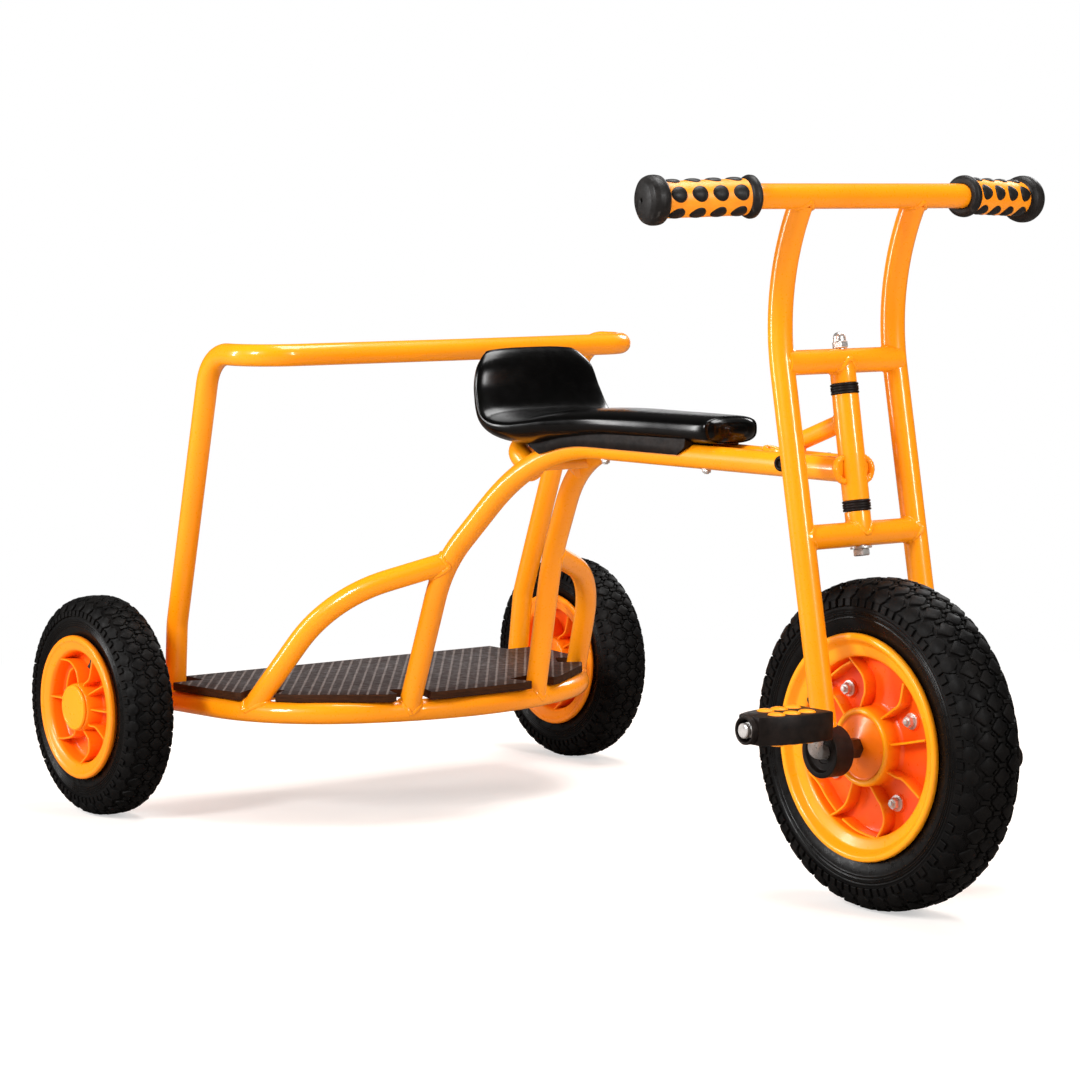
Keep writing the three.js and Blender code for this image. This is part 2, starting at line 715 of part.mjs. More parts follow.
for (const [label, side] of sides) {
  const mate = side < 0 ? [] : [clearOf(mainPath(-1))];
  add(`main_tube_${label}`, cut(bentTube(mainPath(side)), clearOfHead(), clearOfRing(), ...mate), paint());
  add(`brace_${label}`, cut(bentTube(bracePath(side)), clearOf(mainPath(side)), clearOfRing()), paint());
  add(`hoop_post_${label}`, hoopPost(side), paint());
  add(`steering_buffer_${label}`, buffer(side), rubber());
  add(`seat_bolt_front_${label}`, cut(seatBolt(-243, side), clearOf(mainPath(side))), steel());
  add(`seat_bolt_rear_${label}`, cut(seatBolt(-400, side), clearOf(mainPath(side))), steel());
}

add('head_bush_lower', headBush(27.3), rubber());
add('head_bush_upper', headBush(135.1), rubber());
add('fork_bush_lower', headBush(22.2), rubber());
add('fork_bush_upper', headBush(140.2), rubber());
add('fork_cross_lower', forkCross(0, 0, 21.9), paint());
add('fork_cross_upper', forkCross(CROSS_SPACING, 145.3, CROSS_SPACING), paint());
add('handlebar', handlebar(), paint());
add('steering_bolt', steeringBolt(), steel());
add('dome_nut', domeNut(), steel());
add('lock_nut', lowerNut(), steel());

add('front_tyre', tyre(FRONT_X, 0, FRONT_R, 101.3, 34, 29, 36), rubber());
add('front_rim', frontRim(), rimPlastic());
add('front_valve', valve(), rubber());
add('crank_axle', crankAxle(), steel());

for (const [label, side] of sides) {
  add(`fork_leg_${label}`, forkLeg(side), paint());
  add(`axle_housing_${label}`, housing(side), rubber());
  add(`grip_${label}`, grip(side), rubber());
  add(`grip_sleeve_${label}`, sleeveRing(side), rimPlastic());
  add(`pedal_${label}`, pedalBody(side), plastic());
  add(`pedal_tread_${label}`, pedalTread(side), rimPlastic());
  add(`pedal_nut_${label}`, pedalNut(side), steel());
  add(`rear_tyre_${label}`, tyre(REAR_X, side * REAR_TRACK / 2, REAR_R, 73.4, 27.5, 22, 28), rubber());
  add(`rear_rim_${label}`, rearRim(side), rimPlastic());
  add(`hub_cap_${label}`, hubCap(side), rimPlastic());
}

export default assembly;
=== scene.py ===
"""Looks of the children's tricycle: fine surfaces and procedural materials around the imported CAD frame.

Lengths in this script are millimetres in the row frame (+X forward, +Y left, +Z up), and become metres
when a mesh is made. Side is -1 for the right and +1 for the left.
"""

import json
import math

import bmesh
import bpy
import numpy as np
from mathutils import Matrix, Vector


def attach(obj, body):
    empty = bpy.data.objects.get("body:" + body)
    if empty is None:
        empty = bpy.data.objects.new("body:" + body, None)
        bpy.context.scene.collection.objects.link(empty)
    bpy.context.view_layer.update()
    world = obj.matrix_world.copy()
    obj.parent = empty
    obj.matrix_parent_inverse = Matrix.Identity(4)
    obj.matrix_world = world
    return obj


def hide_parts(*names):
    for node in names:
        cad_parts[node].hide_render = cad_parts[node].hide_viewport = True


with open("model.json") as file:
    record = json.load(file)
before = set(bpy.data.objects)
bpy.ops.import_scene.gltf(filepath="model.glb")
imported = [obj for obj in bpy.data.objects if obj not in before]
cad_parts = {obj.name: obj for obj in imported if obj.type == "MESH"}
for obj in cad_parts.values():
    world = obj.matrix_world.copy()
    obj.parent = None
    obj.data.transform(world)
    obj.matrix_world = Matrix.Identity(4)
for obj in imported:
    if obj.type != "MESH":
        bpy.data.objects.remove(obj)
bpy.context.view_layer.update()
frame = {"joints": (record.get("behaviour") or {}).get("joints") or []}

MM = 0.001
SIDES = (("right", -1), ("left", 1))
JOINTS = {j["name"]: j for j in frame["joints"]}


def joint_mm(name):
    return np.array(JOINTS[name]["pos_m"]) / MM


FRONT = joint_mm("front_wheel_spin")
REAR = joint_mm("rear_wheel_left_spin")
STEER = joint_mm("steering")
UP = np.array(JOINTS["steering"]["axis"])
FX, FZ = FRONT[0], FRONT[2]
RX, RZ, TRACK_Y = REAR[0], REAR[2], REAR[1]

TUBE_R = 12.0
LEG_Y = 72.3
LEG_TILT = math.radians(10.4)
LEG_BOW_R = 240.0
LEG_BOW_X = FX - 70.5
LEG_BOW_Z = 560.0
BAR_Z = 682.0
BAR_X = LEG_BOW_X + LEG_BOW_R * (1 - math.cos(math.asin((BAR_Z - LEG_BOW_Z) / LEG_BOW_R)))
BAR_BEND_Y = 125.0
BAR_SWEEP = math.radians(11)
GRIP_START = 7.0
GRIP_LENGTH = 119.0
CROSS_SPACING = 167.2
MAIN_Z = 424.0
RAIL_Z = 516.0
RING_END_Y = 248.0
CRANK_ANGLE = math.radians(36)
CRANK_R = 43.0


def V(*c):
    return np.array(c, float)


def unit(v):
    return np.asarray(v, float) / np.linalg.norm(v)


def on_axis(s):
    return STEER + s * UP


# ---- mesh making: a shape is (points in mm, faces) ----
def merged(*shapes):
    points, faces, start = [], [], 0
    for p, f in shapes:
        points.append(np.asarray(p, float))
        faces += [tuple(i + start for i in face) for face in f]
        start += len(p)
    return np.vstack(points), faces


def moved(shape, offset):
    return shape[0] + np.asarray(offset, float), shape[1]


def flipped(shape, axis):
    points = shape[0].copy()
    points[:, axis] *= -1
    return points, [tuple(reversed(f)) for f in shape[1]]


def build(name, shape, material, body, nodes=(), slot=None, sharp=35, attribute=None):
    points, faces = shape
    mesh = bpy.data.meshes.new(name)
    mesh.from_pydata([tuple(p) for p in np.asarray(points) * MM], [], faces)
    if attribute is not None:
        mesh.attributes.new("depth", "FLOAT", "POINT").data.foreach_set("value", attribute.astype(np.float32))
    bm = bmesh.new()
    bm.from_mesh(mesh)
    bmesh.ops.remove_doubles(bm, verts=bm.verts, dist=1e-6)
    bmesh.ops.dissolve_degenerate(bm, edges=bm.edges, dist=1e-7)
    bmesh.ops.recalc_face_normals(bm, faces=bm.faces)
    for f in bm.faces:
        f.smooth = True
    bm.to_mesh(mesh)
    bm.free()
    mesh.set_sharp_from_angle(angle=math.radians(sharp))
    mesh.materials.append(material)
    obj = bpy.data.objects.new(name, mesh)
    bpy.context.scene.collection.objects.link(obj)
    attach(obj, body)
    if nodes:
        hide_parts(*nodes)
    return obj


def basis(axis, hint=(0, 0, 1)):
    """Two unit vectors square to axis."""
    axis = unit(axis)
    hint = np.asarray(hint, float)
    if abs(axis @ unit(hint)) > 0.95:
        hint = V(1, 0, 0)
    e1 = unit(np.cross(axis, hint))
    return e1, np.cross(axis, e1)


def ring_faces(rows, around, close_rows=False, close_around=True):
    faces = []
    last = rows if close_rows else rows - 1
    wide = around if close_around else around - 1
    for i in range(last):
        for k in range(wide):
            a, b = i * around + k, i * around + (k + 1) % around
            c, d = ((i + 1) % rows) * around + (k + 1) % around, ((i + 1) % rows) * around + k
            faces.append((a, b, c, d))
    return faces


def lathe(profile, at, axis, sides, closed=True):
    """(radius, along) profile turned about axis through at; closed joins the last point to the first."""
    e1, e2 = basis(axis)
    axis = unit(axis)
    angles = np.arange(sides) * 2 * math.pi / sides
    spokes = np.cos(angles)[:, None] * e1 + np.sin(angles)[:, None] * e2
    points = np.vstack([np.asarray(at) + spokes * r + axis * t for r, t in profile])
    return points, ring_faces(len(profile), sides, close_rows=closed)


def filleted(profile, radius, steps=4, closed=True):
    """The (r, t) profile with each corner cut by a small arc; points on the axis stay."""
    pts = [np.array(p, float) for p in profile]
    out = []
    n = len(pts)
    for i, p in enumerate(pts):
        if (not closed and i in (0, n - 1)) or p[0] == 0:
            out.append(tuple(p))
            continue
        a, b = pts[i - 1] - p, pts[(i + 1) % n] - p
        reach = min(radius, 0.45 * np.linalg.norm(a), 0.45 * np.linalg.norm(b))
        if reach < 0.05 or abs(unit(a) @ unit(b)) > 0.995:
            out.append(tuple(p))
            continue
        s, e = p + unit(a) * reach, p + unit(b) * reach
        for k in range(steps + 1):
            t = k / steps
            out.append(tuple((1 - t) ** 2 * s + 2 * t * (1 - t) * p + t * t * e))
    return out


def bent(corners, step=math.radians(3)):
    """Centre line with true arcs: corners are (point, bend radius)."""
    line = [corners[0][0]]
    for (before, _), (corner, radius), (after, _) in zip(corners, corners[1:], corners[2:]):
        back, ahead = unit(before - corner), unit(after - corner)
        half = math.acos(np.clip(back @ ahead, -1, 1)) / 2
        turn = math.pi - 2 * half
        centre = corner + unit(back + ahead) * radius / math.sin(half)
        start = corner + back * radius / math.tan(half) - centre
        axis = -unit(np.cross(back, ahead))
        count = max(4, math.ceil(turn / step))
        for k in range(count + 1):
            a = turn * k / count
            line.append(start * math.cos(a) + np.cross(axis, start) * math.sin(a) + centre)
    line.append(corners[-1][0])
    return np.array(line)


def tangents(line, loop=False):
    if loop:
        d = np.roll(line, -1, 0) - np.roll(line, 1, 0)
    else:
        d = np.gradient(line, axis=0)
    return d / np.linalg.norm(d, axis=1)[:, None]


def sweep(line, section, hint=(0, 0, 1), scale=None, loop=False, round_ends=0.0):
    """A section of (side, up) points carried along line without twist."""
    section = np.asarray(section, float)
    t = tangents(line, loop)
    e1, _ = basis(t[0], hint)
    rows = []
    for i, (p, d) in enumerate(zip(line, t)):
        e1 = unit(e1 - d * (e1 @ d))
        e2 = np.cross(d, e1)
        k = 1.0 if scale is None else scale[i]
        rows.append(p + k * (section[:, :1] * e1 + section[:, 1:] * e2))
    n = len(section)
    if round_ends:
        head, tail = rows[0], rows[-1]
        rows.insert(0, head.mean(0) + (head - head.mean(0)) * 0.86 - t[0] * round_ends)
        rows.append(tail.mean(0) + (tail - tail.mean(0)) * 0.86 + t[-1] * round_ends)
    faces = ring_faces(len(rows), n, close_rows=loop)
    if not loop:
        faces += [tuple(range(n - 1, -1, -1)), tuple((len(rows) - 1) * n + k for k in range(n))]
    return np.vstack(rows), faces


def circle(radius, sides=40):
    a = np.arange(sides) * 2 * math.pi / sides
    return np.stack([np.cos(a), np.sin(a)], 1) * radius


def tube(corners, radius=TUBE_R, sides=40):
    return sweep(bent(corners), circle(radius, sides))


def straight(a, b, radius, sides=40, chamfer=0.0):
    length = np.linalg.norm(b - a)
    profile = [(0, 0), (radius, 0), (radius, length), (0, length)]
    return lathe(filleted(profile, chamfer, 3, closed=False) if chamfer else profile, a, b - a, sides, False)


def hexagon(at, axis, across, height, bore=0.0, turn=0.0):
    """Nut or bolt head: flats `across`, edges softened, with an optional bore."""
    e1, e2 = basis(axis)
    axis = unit(axis)
    r = across / math.sqrt(3)
    a = np.arange(6) * math.pi / 3 + turn
    spokes = np.cos(a)[:, None] * e1 + np.sin(a)[:, None] * e2
    rings = [(0.9, 0), (1, 0.9), (1, height - 0.9), (0.88, height)]
    points = [at + spokes * r * k + axis * h for k, h in rings]
    faces = ring_faces(4, 6)
    faces += [tuple(range(5, -1, -1)), tuple(18 + k for k in range(6))]
    shape = (np.vstack(points), faces)
    if bore:
        shape = merged(shape, lathe([(0, height + 0.1), (bore, height + 0.1), (bore, height - 0.4)], at, axis, 20, False))
    return shape


def bead(end, direction, radius, q, u, big, size=3.2, seed=0.0):
    """Weld bead where a tube running along direction meets a tube through q along u."""
    direction, u = unit(direction), unit(u)
    e1, e2 = basis(direction)
    line = []
    for a in np.linspace(0, 2 * math.pi, 96, endpoint=False):
        p = end + radius * (math.cos(a) * e1 + math.sin(a) * e2)
        w, d = p - q, direction
        w, dd = w - (w @ u) * u, d - (d @ u) * u
        aa, bb, cc = dd @ dd, 2 * w @ dd, w @ w - big * big
        disc = bb * bb - 4 * aa * cc
        t = (-bb - math.sqrt(disc)) / (2 * aa) if disc > 0 else -bb / (2 * aa)
        p = p + direction * t
        spoke = (p - q) - ((p - q) @ u) * u
        line.append(p - 1.35 * unit(math.cos(a) * e1 + math.sin(a) * e2 + spoke / big))
    line = np.array(line)
    for _ in range(3):
        line = (np.roll(line, 1, 0) + line * 2 + np.roll(line, -1, 0)) / 4
    a = np.linspace(0, 2 * math.pi, 96, endpoint=False)
    ripple = size * (1 + 0.05 * np.sin(24 * a + seed) + 0.06 * np.sin(5 * a + 2 * seed))
    return sweep(line, circle(1.0, 10), scale=ripple, loop=True)


# ---- materials ----
class Look:
    """A Principled material and short ways to add nodes to it."""

    def __init__(self, name, **inputs):
        self.material = bpy.data.materials.new(name)
        self.material.use_nodes = True
        self.nodes = self.material.node_tree.nodes
        self.links = self.material.node_tree.links
        self.shader = self.nodes["Principled BSDF"]
        for key, value in inputs.items():
            self.shader.inputs[key.replace("_", " ")].default_value = value
        self.place = self.nodes.new("ShaderNodeTexCoord").outputs["Object"]

    def node(self, kind, values=(), **settings):
        n = self.nodes.new("ShaderNode" + kind)
        for key, value in settings.items():
            setattr(n, key, value)
        for key, value in dict(values).items():
            if hasattr(value, "is_linked") or isinstance(value, bpy.types.NodeSocket):
                self.links.new(value, n.inputs[key])
            else:
                n.inputs[key].default_value = value
        return n

    def noise(self, scale, detail=3.0, roughness=0.5, stretch=None):
        where = self.place
        if stretch:
            where = self.node("Mapping", {"Vector": self.place, "Scale": stretch}).outputs["Vector"]
        n = self.node("TexNoise", {"Vector": where, "Scale": scale, "Detail": detail, "Roughness": roughness})
        return n.outputs["Fac"]

    def ramp(self, factor, *stops):
        n = self.node("ValToRGB", {"Fac": factor})
        ramp = n.color_ramp
        while len(ramp.elements) < len(stops):
            ramp.elements.new(0.5)
        for element, (at, colour) in zip(ramp.elements, stops):
            element.position = at
            element.color = (*colour, 1) if len(colour) == 3 else colour
        return n.outputs["Color"]

    def range(self, value, low, high, to_low, to_high):
        n = self.node("MapRange", {"Value": value, "From Min": low, "From Max": high, "To Min": to_low, "To Max": to_high})
        return n.outputs["Result"]

    def math(self, operation, a, b=0.0):
        n = self.node("Math", {0: a, 1: b}, operation=operation)
        return n.outputs["Value"]

    def mix(self, factor, a, b, blend="MIX"):
        n = self.nodes.new("ShaderNodeMix")
        n.data_type = "RGBA"
        n.blend_type = blend
        for socket, value in ((n.inputs[0], factor), (n.inputs[6], a), (n.inputs[7], b)):
            if isinstance(value, bpy.types.NodeSocket):
                self.links.new(value, socket)
            elif isinstance(value, (int, float)):
                socket.default_value = value
            else:
                socket.default_value = (*value, 1)
        return n.outputs[2]

    def colour(self, socket):
        self.links.new(socket, self.shader.inputs["Base Color"])

    def rough(self, socket):
        self.links.new(socket, self.shader.inputs["Roughness"])

    def bump(self, height, strength, distance):
        previous = self.shader.inputs["Normal"].links
        values = {"Height": height, "Strength": strength, "Distance": distance}
        if previous:
            values["Normal"] = previous[0].from_socket
        n = self.node("Bump", values)
        self.links.new(n.outputs["Normal"], self.shader.inputs["Normal"])


def painted_steel():
    look = Look("frame_paint_gloss", Coat_Weight=0.6, Coat_Roughness=0.06, Specular_IOR_Level=0.3)
    broad = look.noise(7.0, 2.0)
    fine = look.noise(420.0, 2.0)
    look.colour(look.ramp(broad, (0.3, (0.95, 0.300, 0.003)), (0.7, (0.97, 0.345, 0.004))))
    look.rough(look.range(fine, 0.3, 0.7, 0.26, 0.36))
    look.bump(fine, 0.05, 0.0004)
    look.bump(look.noise(60.0, 2.0), 0.05, 0.0012)
    return look.material


def rim_plastic():
    look = Look("rim_plastic_gloss", Coat_Weight=0.2, Coat_Roughness=0.12, Specular_IOR_Level=0.3)
    # Painted shade: the depth attribute turns the rim from yellow-orange at the lip to deep red-orange on the dish
    # floor, standing in for shade and interreflection in the recesses.
    depth = look.node("Attribute", attribute_name="depth").outputs["Fac"]
    flow = look.noise(30.0, 3.0)
    painted_recess_shade = look.ramp(depth, (0.0, (0.96, 0.36, 0.004)), (0.45, (0.94, 0.200, 0.003)), (1.0, (0.86, 0.070, 0.002)))
    look.colour(look.mix(look.range(flow, 0.35, 0.65, 0.0, 0.10), painted_recess_shade, (0.95, 0.36, 0.015)))
    look.rough(look.range(look.noise(160.0), 0.3, 0.7, 0.26, 0.38))
    look.bump(look.noise(700.0, 2.0), 0.06, 0.0003)
    return look.material


def orange_plastic():
    look = Look("orange_plastic_satin", Specular_IOR_Level=0.4)
    flow = look.noise(45.0, 3.0)
    look.colour(look.ramp(flow, (0.35, (0.94, 0.29, 0.004)), (0.65, (0.96, 0.335, 0.006))))
    look.rough(look.range(look.noise(240.0), 0.3, 0.7, 0.34, 0.48))
    look.bump(look.noise(1100.0, 2.0), 0.08, 0.0003)
    return look.material


def seat_plastic():
    look = Look("seat_plastic_gloss", Specular_IOR_Level=0.36)
    haze = look.noise(26.0, 4.0)
    look.colour(look.ramp(haze, (0.3, (0.0002, 0.0002, 0.0002)), (0.75, (0.0009, 0.0008, 0.0007))))
    look.rough(look.range(look.noise(90.0, 4.0), 0.3, 0.75, 0.19, 0.26))
    scuffs = look.noise(900.0, 3.0, 0.6, stretch=(0.15, 1.0, 1.0))
    look.bump(scuffs, 0.03, 0.0003)
    return look.material


def black_plastic():
    look = Look("black_plastic_matt", Specular_IOR_Level=0.14)
    dust = look.noise(70.0, 5.0, 0.6)
    look.colour(look.ramp(dust, (0.35, (0.0050, 0.0038, 0.0034)), (0.7, (0.0150, 0.0105, 0.0090))))
    look.rough(look.range(look.noise(300.0, 3.0), 0.3, 0.7, 0.36, 0.56))
    look.bump(look.noise(1400.0, 2.0), 0.12, 0.0003)
    return look.material


def soft_rubber():
    look = Look("grip_rubber_matt", Specular_IOR_Level=0.2)
    dust = look.noise(55.0, 4.0, 0.6)
    scratches = look.noise(260.0, 3.0, 0.6, stretch=(1.0, 1.0, 0.12))
    base = look.ramp(dust, (0.3, (0.007, 0.007, 0.007)), (0.75, (0.020, 0.019, 0.019)))
    look.colour(look.mix(look.range(scratches, 0.6, 0.72, 0.0, 0.4), base, (0.085, 0.083, 0.080)))
    look.rough(look.range(look.noise(220.0), 0.3, 0.7, 0.36, 0.54))
    look.bump(look.noise(1500.0, 2.0), 0.15, 0.0003)
    return look.material


def tyre_rubber():
    """Tread dull and dusty; the smooth wall, where the depth attribute is 1, shinier and blacker."""
    look = Look("tyre_rubber_matt")
    wall = look.node("Attribute", attribute_name="depth").outputs["Fac"]
    dust = look.noise(38.0, 6.0, 0.65)
    specks = look.noise(900.0, 2.0)
    base = look.ramp(dust, (0.35, (0.0022, 0.0022, 0.0023)), (0.8, (0.0070, 0.0064, 0.0060)))
    base = look.mix(look.math("MULTIPLY", wall, 0.6), base, (0.0022, 0.0020, 0.0019))
    look.colour(look.mix(look.range(specks, 0.70, 0.80, 0.0, 0.4), base, (0.05, 0.040, 0.034)))
    rough = look.range(look.noise(120.0, 4.0), 0.3, 0.7, 0.44, 0.62)
    look.rough(look.math("SUBTRACT", rough, look.math("MULTIPLY", wall, 0.22)))
    look.links.new(look.range(wall, 0.0, 1.0, 0.09, 0.15), look.shader.inputs["Specular IOR Level"])
    look.bump(look.noise(1300.0, 3.0), 0.16, 0.0004)
    return look.material


def zinc_steel():
    look = Look("zinc_plate_bright", Metallic=0.8)
    stain = look.noise(120.0, 4.0, 0.6)
    look.colour(look.ramp(stain, (0.3, (0.68, 0.68, 0.67)), (0.7, (0.90, 0.89, 0.87))))
    look.rough(look.range(look.noise(500.0, 3.0), 0.3, 0.7, 0.26, 0.40))
    look.bump(look.noise(1600.0, 2.0), 0.10, 0.0002)
    return look.material


def dark_steel():
    look = Look("collar_steel_dark", Metallic=0.7)
    stain = look.noise(160.0, 4.0, 0.6)
    look.colour(look.ramp(stain, (0.3, (0.035, 0.028, 0.025)), (0.7, (0.10, 0.07, 0.055))))
    look.rough(look.range(look.noise(400.0), 0.3, 0.7, 0.3, 0.5))
    look.bump(look.noise(1200.0, 2.0), 0.1, 0.0003)
    return look.material


def board_top():
    """Film-faced plywood: dark film with a fine diamond mesh on top, brown plies at the edge."""
    look = Look("board_film_plywood", Specular_IOR_Level=0.06)
    split = look.node("SeparateXYZ", {"Vector": look.place})
    x, y = split.outputs["X"], split.outputs["Y"]
    lines = []
    for angle, pitch, width in ((math.radians(36.9), 0.0107, 0.16), (math.radians(-38), 0.0105, 0.06)):
        across = look.math("ADD", look.math("MULTIPLY", x, math.sin(angle) / pitch),
                           look.math("MULTIPLY", y, math.cos(angle) / pitch))
        wobble = look.math("MULTIPLY", look.noise(90.0, 2.0), 0.12)
        phase = look.math("FRACT", look.math("ADD", across, wobble))
        lines.append(look.range(look.math("ABSOLUTE", look.math("SUBTRACT", phase, 0.5)), width * 0.4, width, 1.0, 0.0))
    wear = look.range(look.noise(35.0, 5.0, 0.65), 0.35, 0.65, 0.5, 1.0)
    film = look.ramp(look.noise(150.0, 4.0, 0.6), (0.3, (0.026, 0.018, 0.017)), (0.75, (0.044, 0.032, 0.029)))
    first = look.mix(look.math("MULTIPLY", lines[0], wear), film, (0.155, 0.138, 0.132))
    both = look.mix(look.math("MULTIPLY", look.math("MULTIPLY", lines[1], wear), 0.35), first, (0.08, 0.068, 0.064))
    plies = look.math("SINE", look.math("MULTIPLY", split.outputs["Z"], 4200.0))
    grain = look.noise(60.0, 4.0, 0.6, stretch=(1.0, 1.0, 14.0))
    edge = look.mix(look.range(plies, -1.0, 1.0, 0.0, 0.7), (0.030, 0.012, 0.006), (0.085, 0.034, 0.014))
    edge = look.mix(look.range(grain, 0.4, 0.7, 0.0, 0.6), edge, (0.010, 0.007, 0.006))
    facing = look.node("SeparateXYZ", {"Vector": look.node("NewGeometry").outputs["Normal"]}).outputs["Z"]
    look.colour(look.mix(look.range(look.math("ABSOLUTE", facing), 0.5, 0.8, 0.0, 1.0), edge, both))
    look.rough(look.range(look.noise(130.0, 4.0), 0.3, 0.7, 0.42, 0.62))
    look.bump(lines[0], 0.25, 0.0004)
    look.bump(look.noise(800.0, 3.0), 0.12, 0.0003)
    return look.material


PAINT = painted_steel()
RIM = rim_plastic()
ORANGE = orange_plastic()
SEAT = seat_plastic()
PLASTIC = black_plastic()
RUBBER = soft_rubber()
TYRE = tyre_rubber()
ZINC = zinc_steel()
DARK = dark_steel()
BOARD = board_top()


# ---- frame paths, as in the CAD ----
def where(line, key, value):
    for a, b in zip(line, line[1:]):
        if (a[key] - value) * (b[key] - value) <= 0 and a[key] != b[key]:
            return a + (b - a) * (value - a[key]) / (b[key] - a[key])
    return line[-1]


def ring_path():
    return [(V(RX, -RING_END_Y, RZ), 0), (V(FX - 739, -229, RZ), 170), (V(FX - 626, 0, RZ), 322),
            (V(FX - 739, 229, RZ), 170), (V(RX, RING_END_Y, RZ), 0)]


RING_LINE = bent(ring_path())


def main_path(side):
    return [(V(on_axis(62.4)[0], side * 12.4, MAIN_Z - 3), 0), (V(FX - 509, side * 29.5, MAIN_Z), 195),
            (V(FX - 625, side * 74, 286.5), 172), (where(RING_LINE, 1, side * 87), 0)]


def brace_path(side):
    return [(where(bent(main_path(side)), 2, 290), 0), (V(FX - 690, side * 179, 252), 168),
            (where(RING_LINE, 1, side * 225), 0)]


def hoop_path():
    half = [(V(FX - 916, -240, RZ), 0), (V(FX - 906, -242, 209), 60), (V(FX - 803, -256, RAIL_Z), 50),
            (V(FX - 704, -258, RAIL_Z), 48)]
    mirrored = [(p * V(1, -1, 1), r) for p, r in reversed(half)]
    return half + [(V(FX - 695, 0, RAIL_Z), 900)] + mirrored


def leg_path(side):
    start = math.asin((BAR_Z - LEG_BOW_Z) / LEG_BOW_R)

    def bow(a):
        return V(LEG_BOW_X + LEG_BOW_R * (1 - math.cos(a)), side * LEG_Y, LEG_BOW_Z + LEG_BOW_R * math.sin(a))

    low, high = bow(-LEG_TILT), bow(start)
    drop = (low[2] - FZ) / math.cos(LEG_TILT)
    foot = low + V(math.sin(LEG_TILT), 0, -math.cos(LEG_TILT)) * drop
    reach = LEG_BOW_R * math.tan((start + LEG_TILT) / 2)
    corner = low + V(-math.sin(LEG_TILT), 0, math.cos(LEG_TILT)) * reach
    return [(foot, 0), (corner, LEG_BOW_R), (high, 0)]


def bar_ends():
    reach = GRIP_START + GRIP_LENGTH - 6
    return {s: V(BAR_X - math.sin(BAR_SWEEP) * reach, s * (BAR_BEND_Y + math.cos(BAR_SWEEP) * reach), BAR_Z - 3.5)
            for _, s in SIDES}


def bar_path():
    ends = bar_ends()
    return [(ends[-1], 0), (V(BAR_X, -BAR_BEND_Y, BAR_Z), 45), (V(BAR_X, BAR_BEND_Y, BAR_Z), 45), (ends[1], 0)]


# ---- frame ----
def nearest_direction(line, point):
    i = int(np.argmin(np.linalg.norm(line - point, axis=1)))
    a, b = line[max(i - 1, 0)], line[min(i + 1, len(line) - 1)]
    return unit(b - a)


def frame_tubes():
    paint = dict(material=PAINT, body="frame", slot="frame_paint")
    build("ring_tube", tube(ring_path()), nodes=["base_ring"], **paint)
    build("push_hoop", tube(hoop_path()), nodes=["hoop_rail", "hoop_post_right", "hoop_post_left"], **paint)
    end = TRACK_Y - 42
    axle = straight(V(RX, -end, RZ), V(RX, end, RZ), TUBE_R, chamfer=1.0)
    shaft = straight(V(RX, -TRACK_Y - 26, RZ), V(RX, TRACK_Y + 26, RZ), 6, 24)
    build("rear_axle_tube", merged(axle, shaft), nodes=["rear_axle"], **paint)
    for label, side in SIDES:
        build(f"main_bend_{label}", tube(main_path(side)), nodes=[f"main_tube_{label}"], **paint)
        build(f"brace_bend_{label}", tube(brace_path(side)), nodes=[f"brace_{label}"], **paint)
    head = lathe(filleted([(8, 0), (13, 0), (13, 102.4), (8, 102.4)], 0.8), on_axis(32.4), UP, 48)
    build("head_tube_barrel", head, nodes=["head_tube"], **paint)
    gusset = straight(V(FX - 143, 0, MAIN_Z + 13), on_axis(110), 9, 32)
    build("gusset_stay", gusset, nodes=["gusset_tube"], **paint)
    cross = straight(V(FX - 503, -40, 402), V(FX - 503, 40, 402), 8, 32)
    build("seat_cross_stay", cross, nodes=["seat_cross_tube"], **paint)
    bow = [(V(FX - 513, -33, 392), 0), (V(FX - 553, -33, 418), 22), (V(FX - 553, 33, 418), 22), (V(FX - 513, 33, 392), 0)]
    build("seat_bow_tube", tube(bow), nodes=["seat_bow"], **paint)
    strap = rounded_box(V(FX - 865, -RING_END_Y + 12, RZ), V(FX - 835, RING_END_Y - 12, RZ + 12), 1.5)
    build("board_strap_bar", strap, nodes=["board_strap"], **paint)


def rounded_box(low, high, radius, steps=3):
    """Box whose upright edges are rounded, with softened top and bottom rims."""
    centre, half = (low + high) / 2, (high - low) / 2
    outline = []
    for sx, sy, start in ((1, 1, 0), (-1, 1, 90), (-1, -1, 180), (1, -1, 270)):
        for k in range(steps + 1):
            a = math.radians(start + 90 * k / steps)
            outline.append((sx * (half[0] - radius) + radius * math.cos(a), sy * (half[1] - radius) + radius * math.sin(a)))
    return slab(np.array(outline) + centre[:2], low[2], high[2], min(radius * 0.6, half[2] * 0.5))


def slab(outline, bottom, top, soft=0.8):
    """Flat plate of that outline with softened rims."""
    outline = np.asarray(outline, float)
    inward = outline_inward(outline)
    levels = [(soft, bottom), (soft * 0.3, bottom + soft * 0.3), (0, bottom + soft), (0, top - soft),
              (soft * 0.3, top - soft * 0.3), (soft, top)]
    n = len(outline)
    rows = [np.column_stack([outline + inward * d, np.full(n, z)]) for d, z in levels]
    faces = ring_faces(len(rows), n)
    faces += [tuple(range(n - 1, -1, -1)), tuple((len(rows) - 1) * n + k for k in range(n))]
    return np.vstack(rows), faces


def outline_inward(outline):
    ahead, back = np.roll(outline, -1, 0) - outline, outline - np.roll(outline, 1, 0)
    ahead = ahead / np.linalg.norm(ahead, axis=1)[:, None]
    back = back / np.linalg.norm(back, axis=1)[:, None]
    normal = np.stack([-(ahead + back)[:, 1], (ahead + back)[:, 0]], 1)
    normal /= np.linalg.norm(normal, axis=1)[:, None]
    area = np.sum(outline[:, 0] * np.roll(outline[:, 1], -1) - outline[:, 1] * np.roll(outline[:, 0], -1))
    return normal if area > 0 else -normal


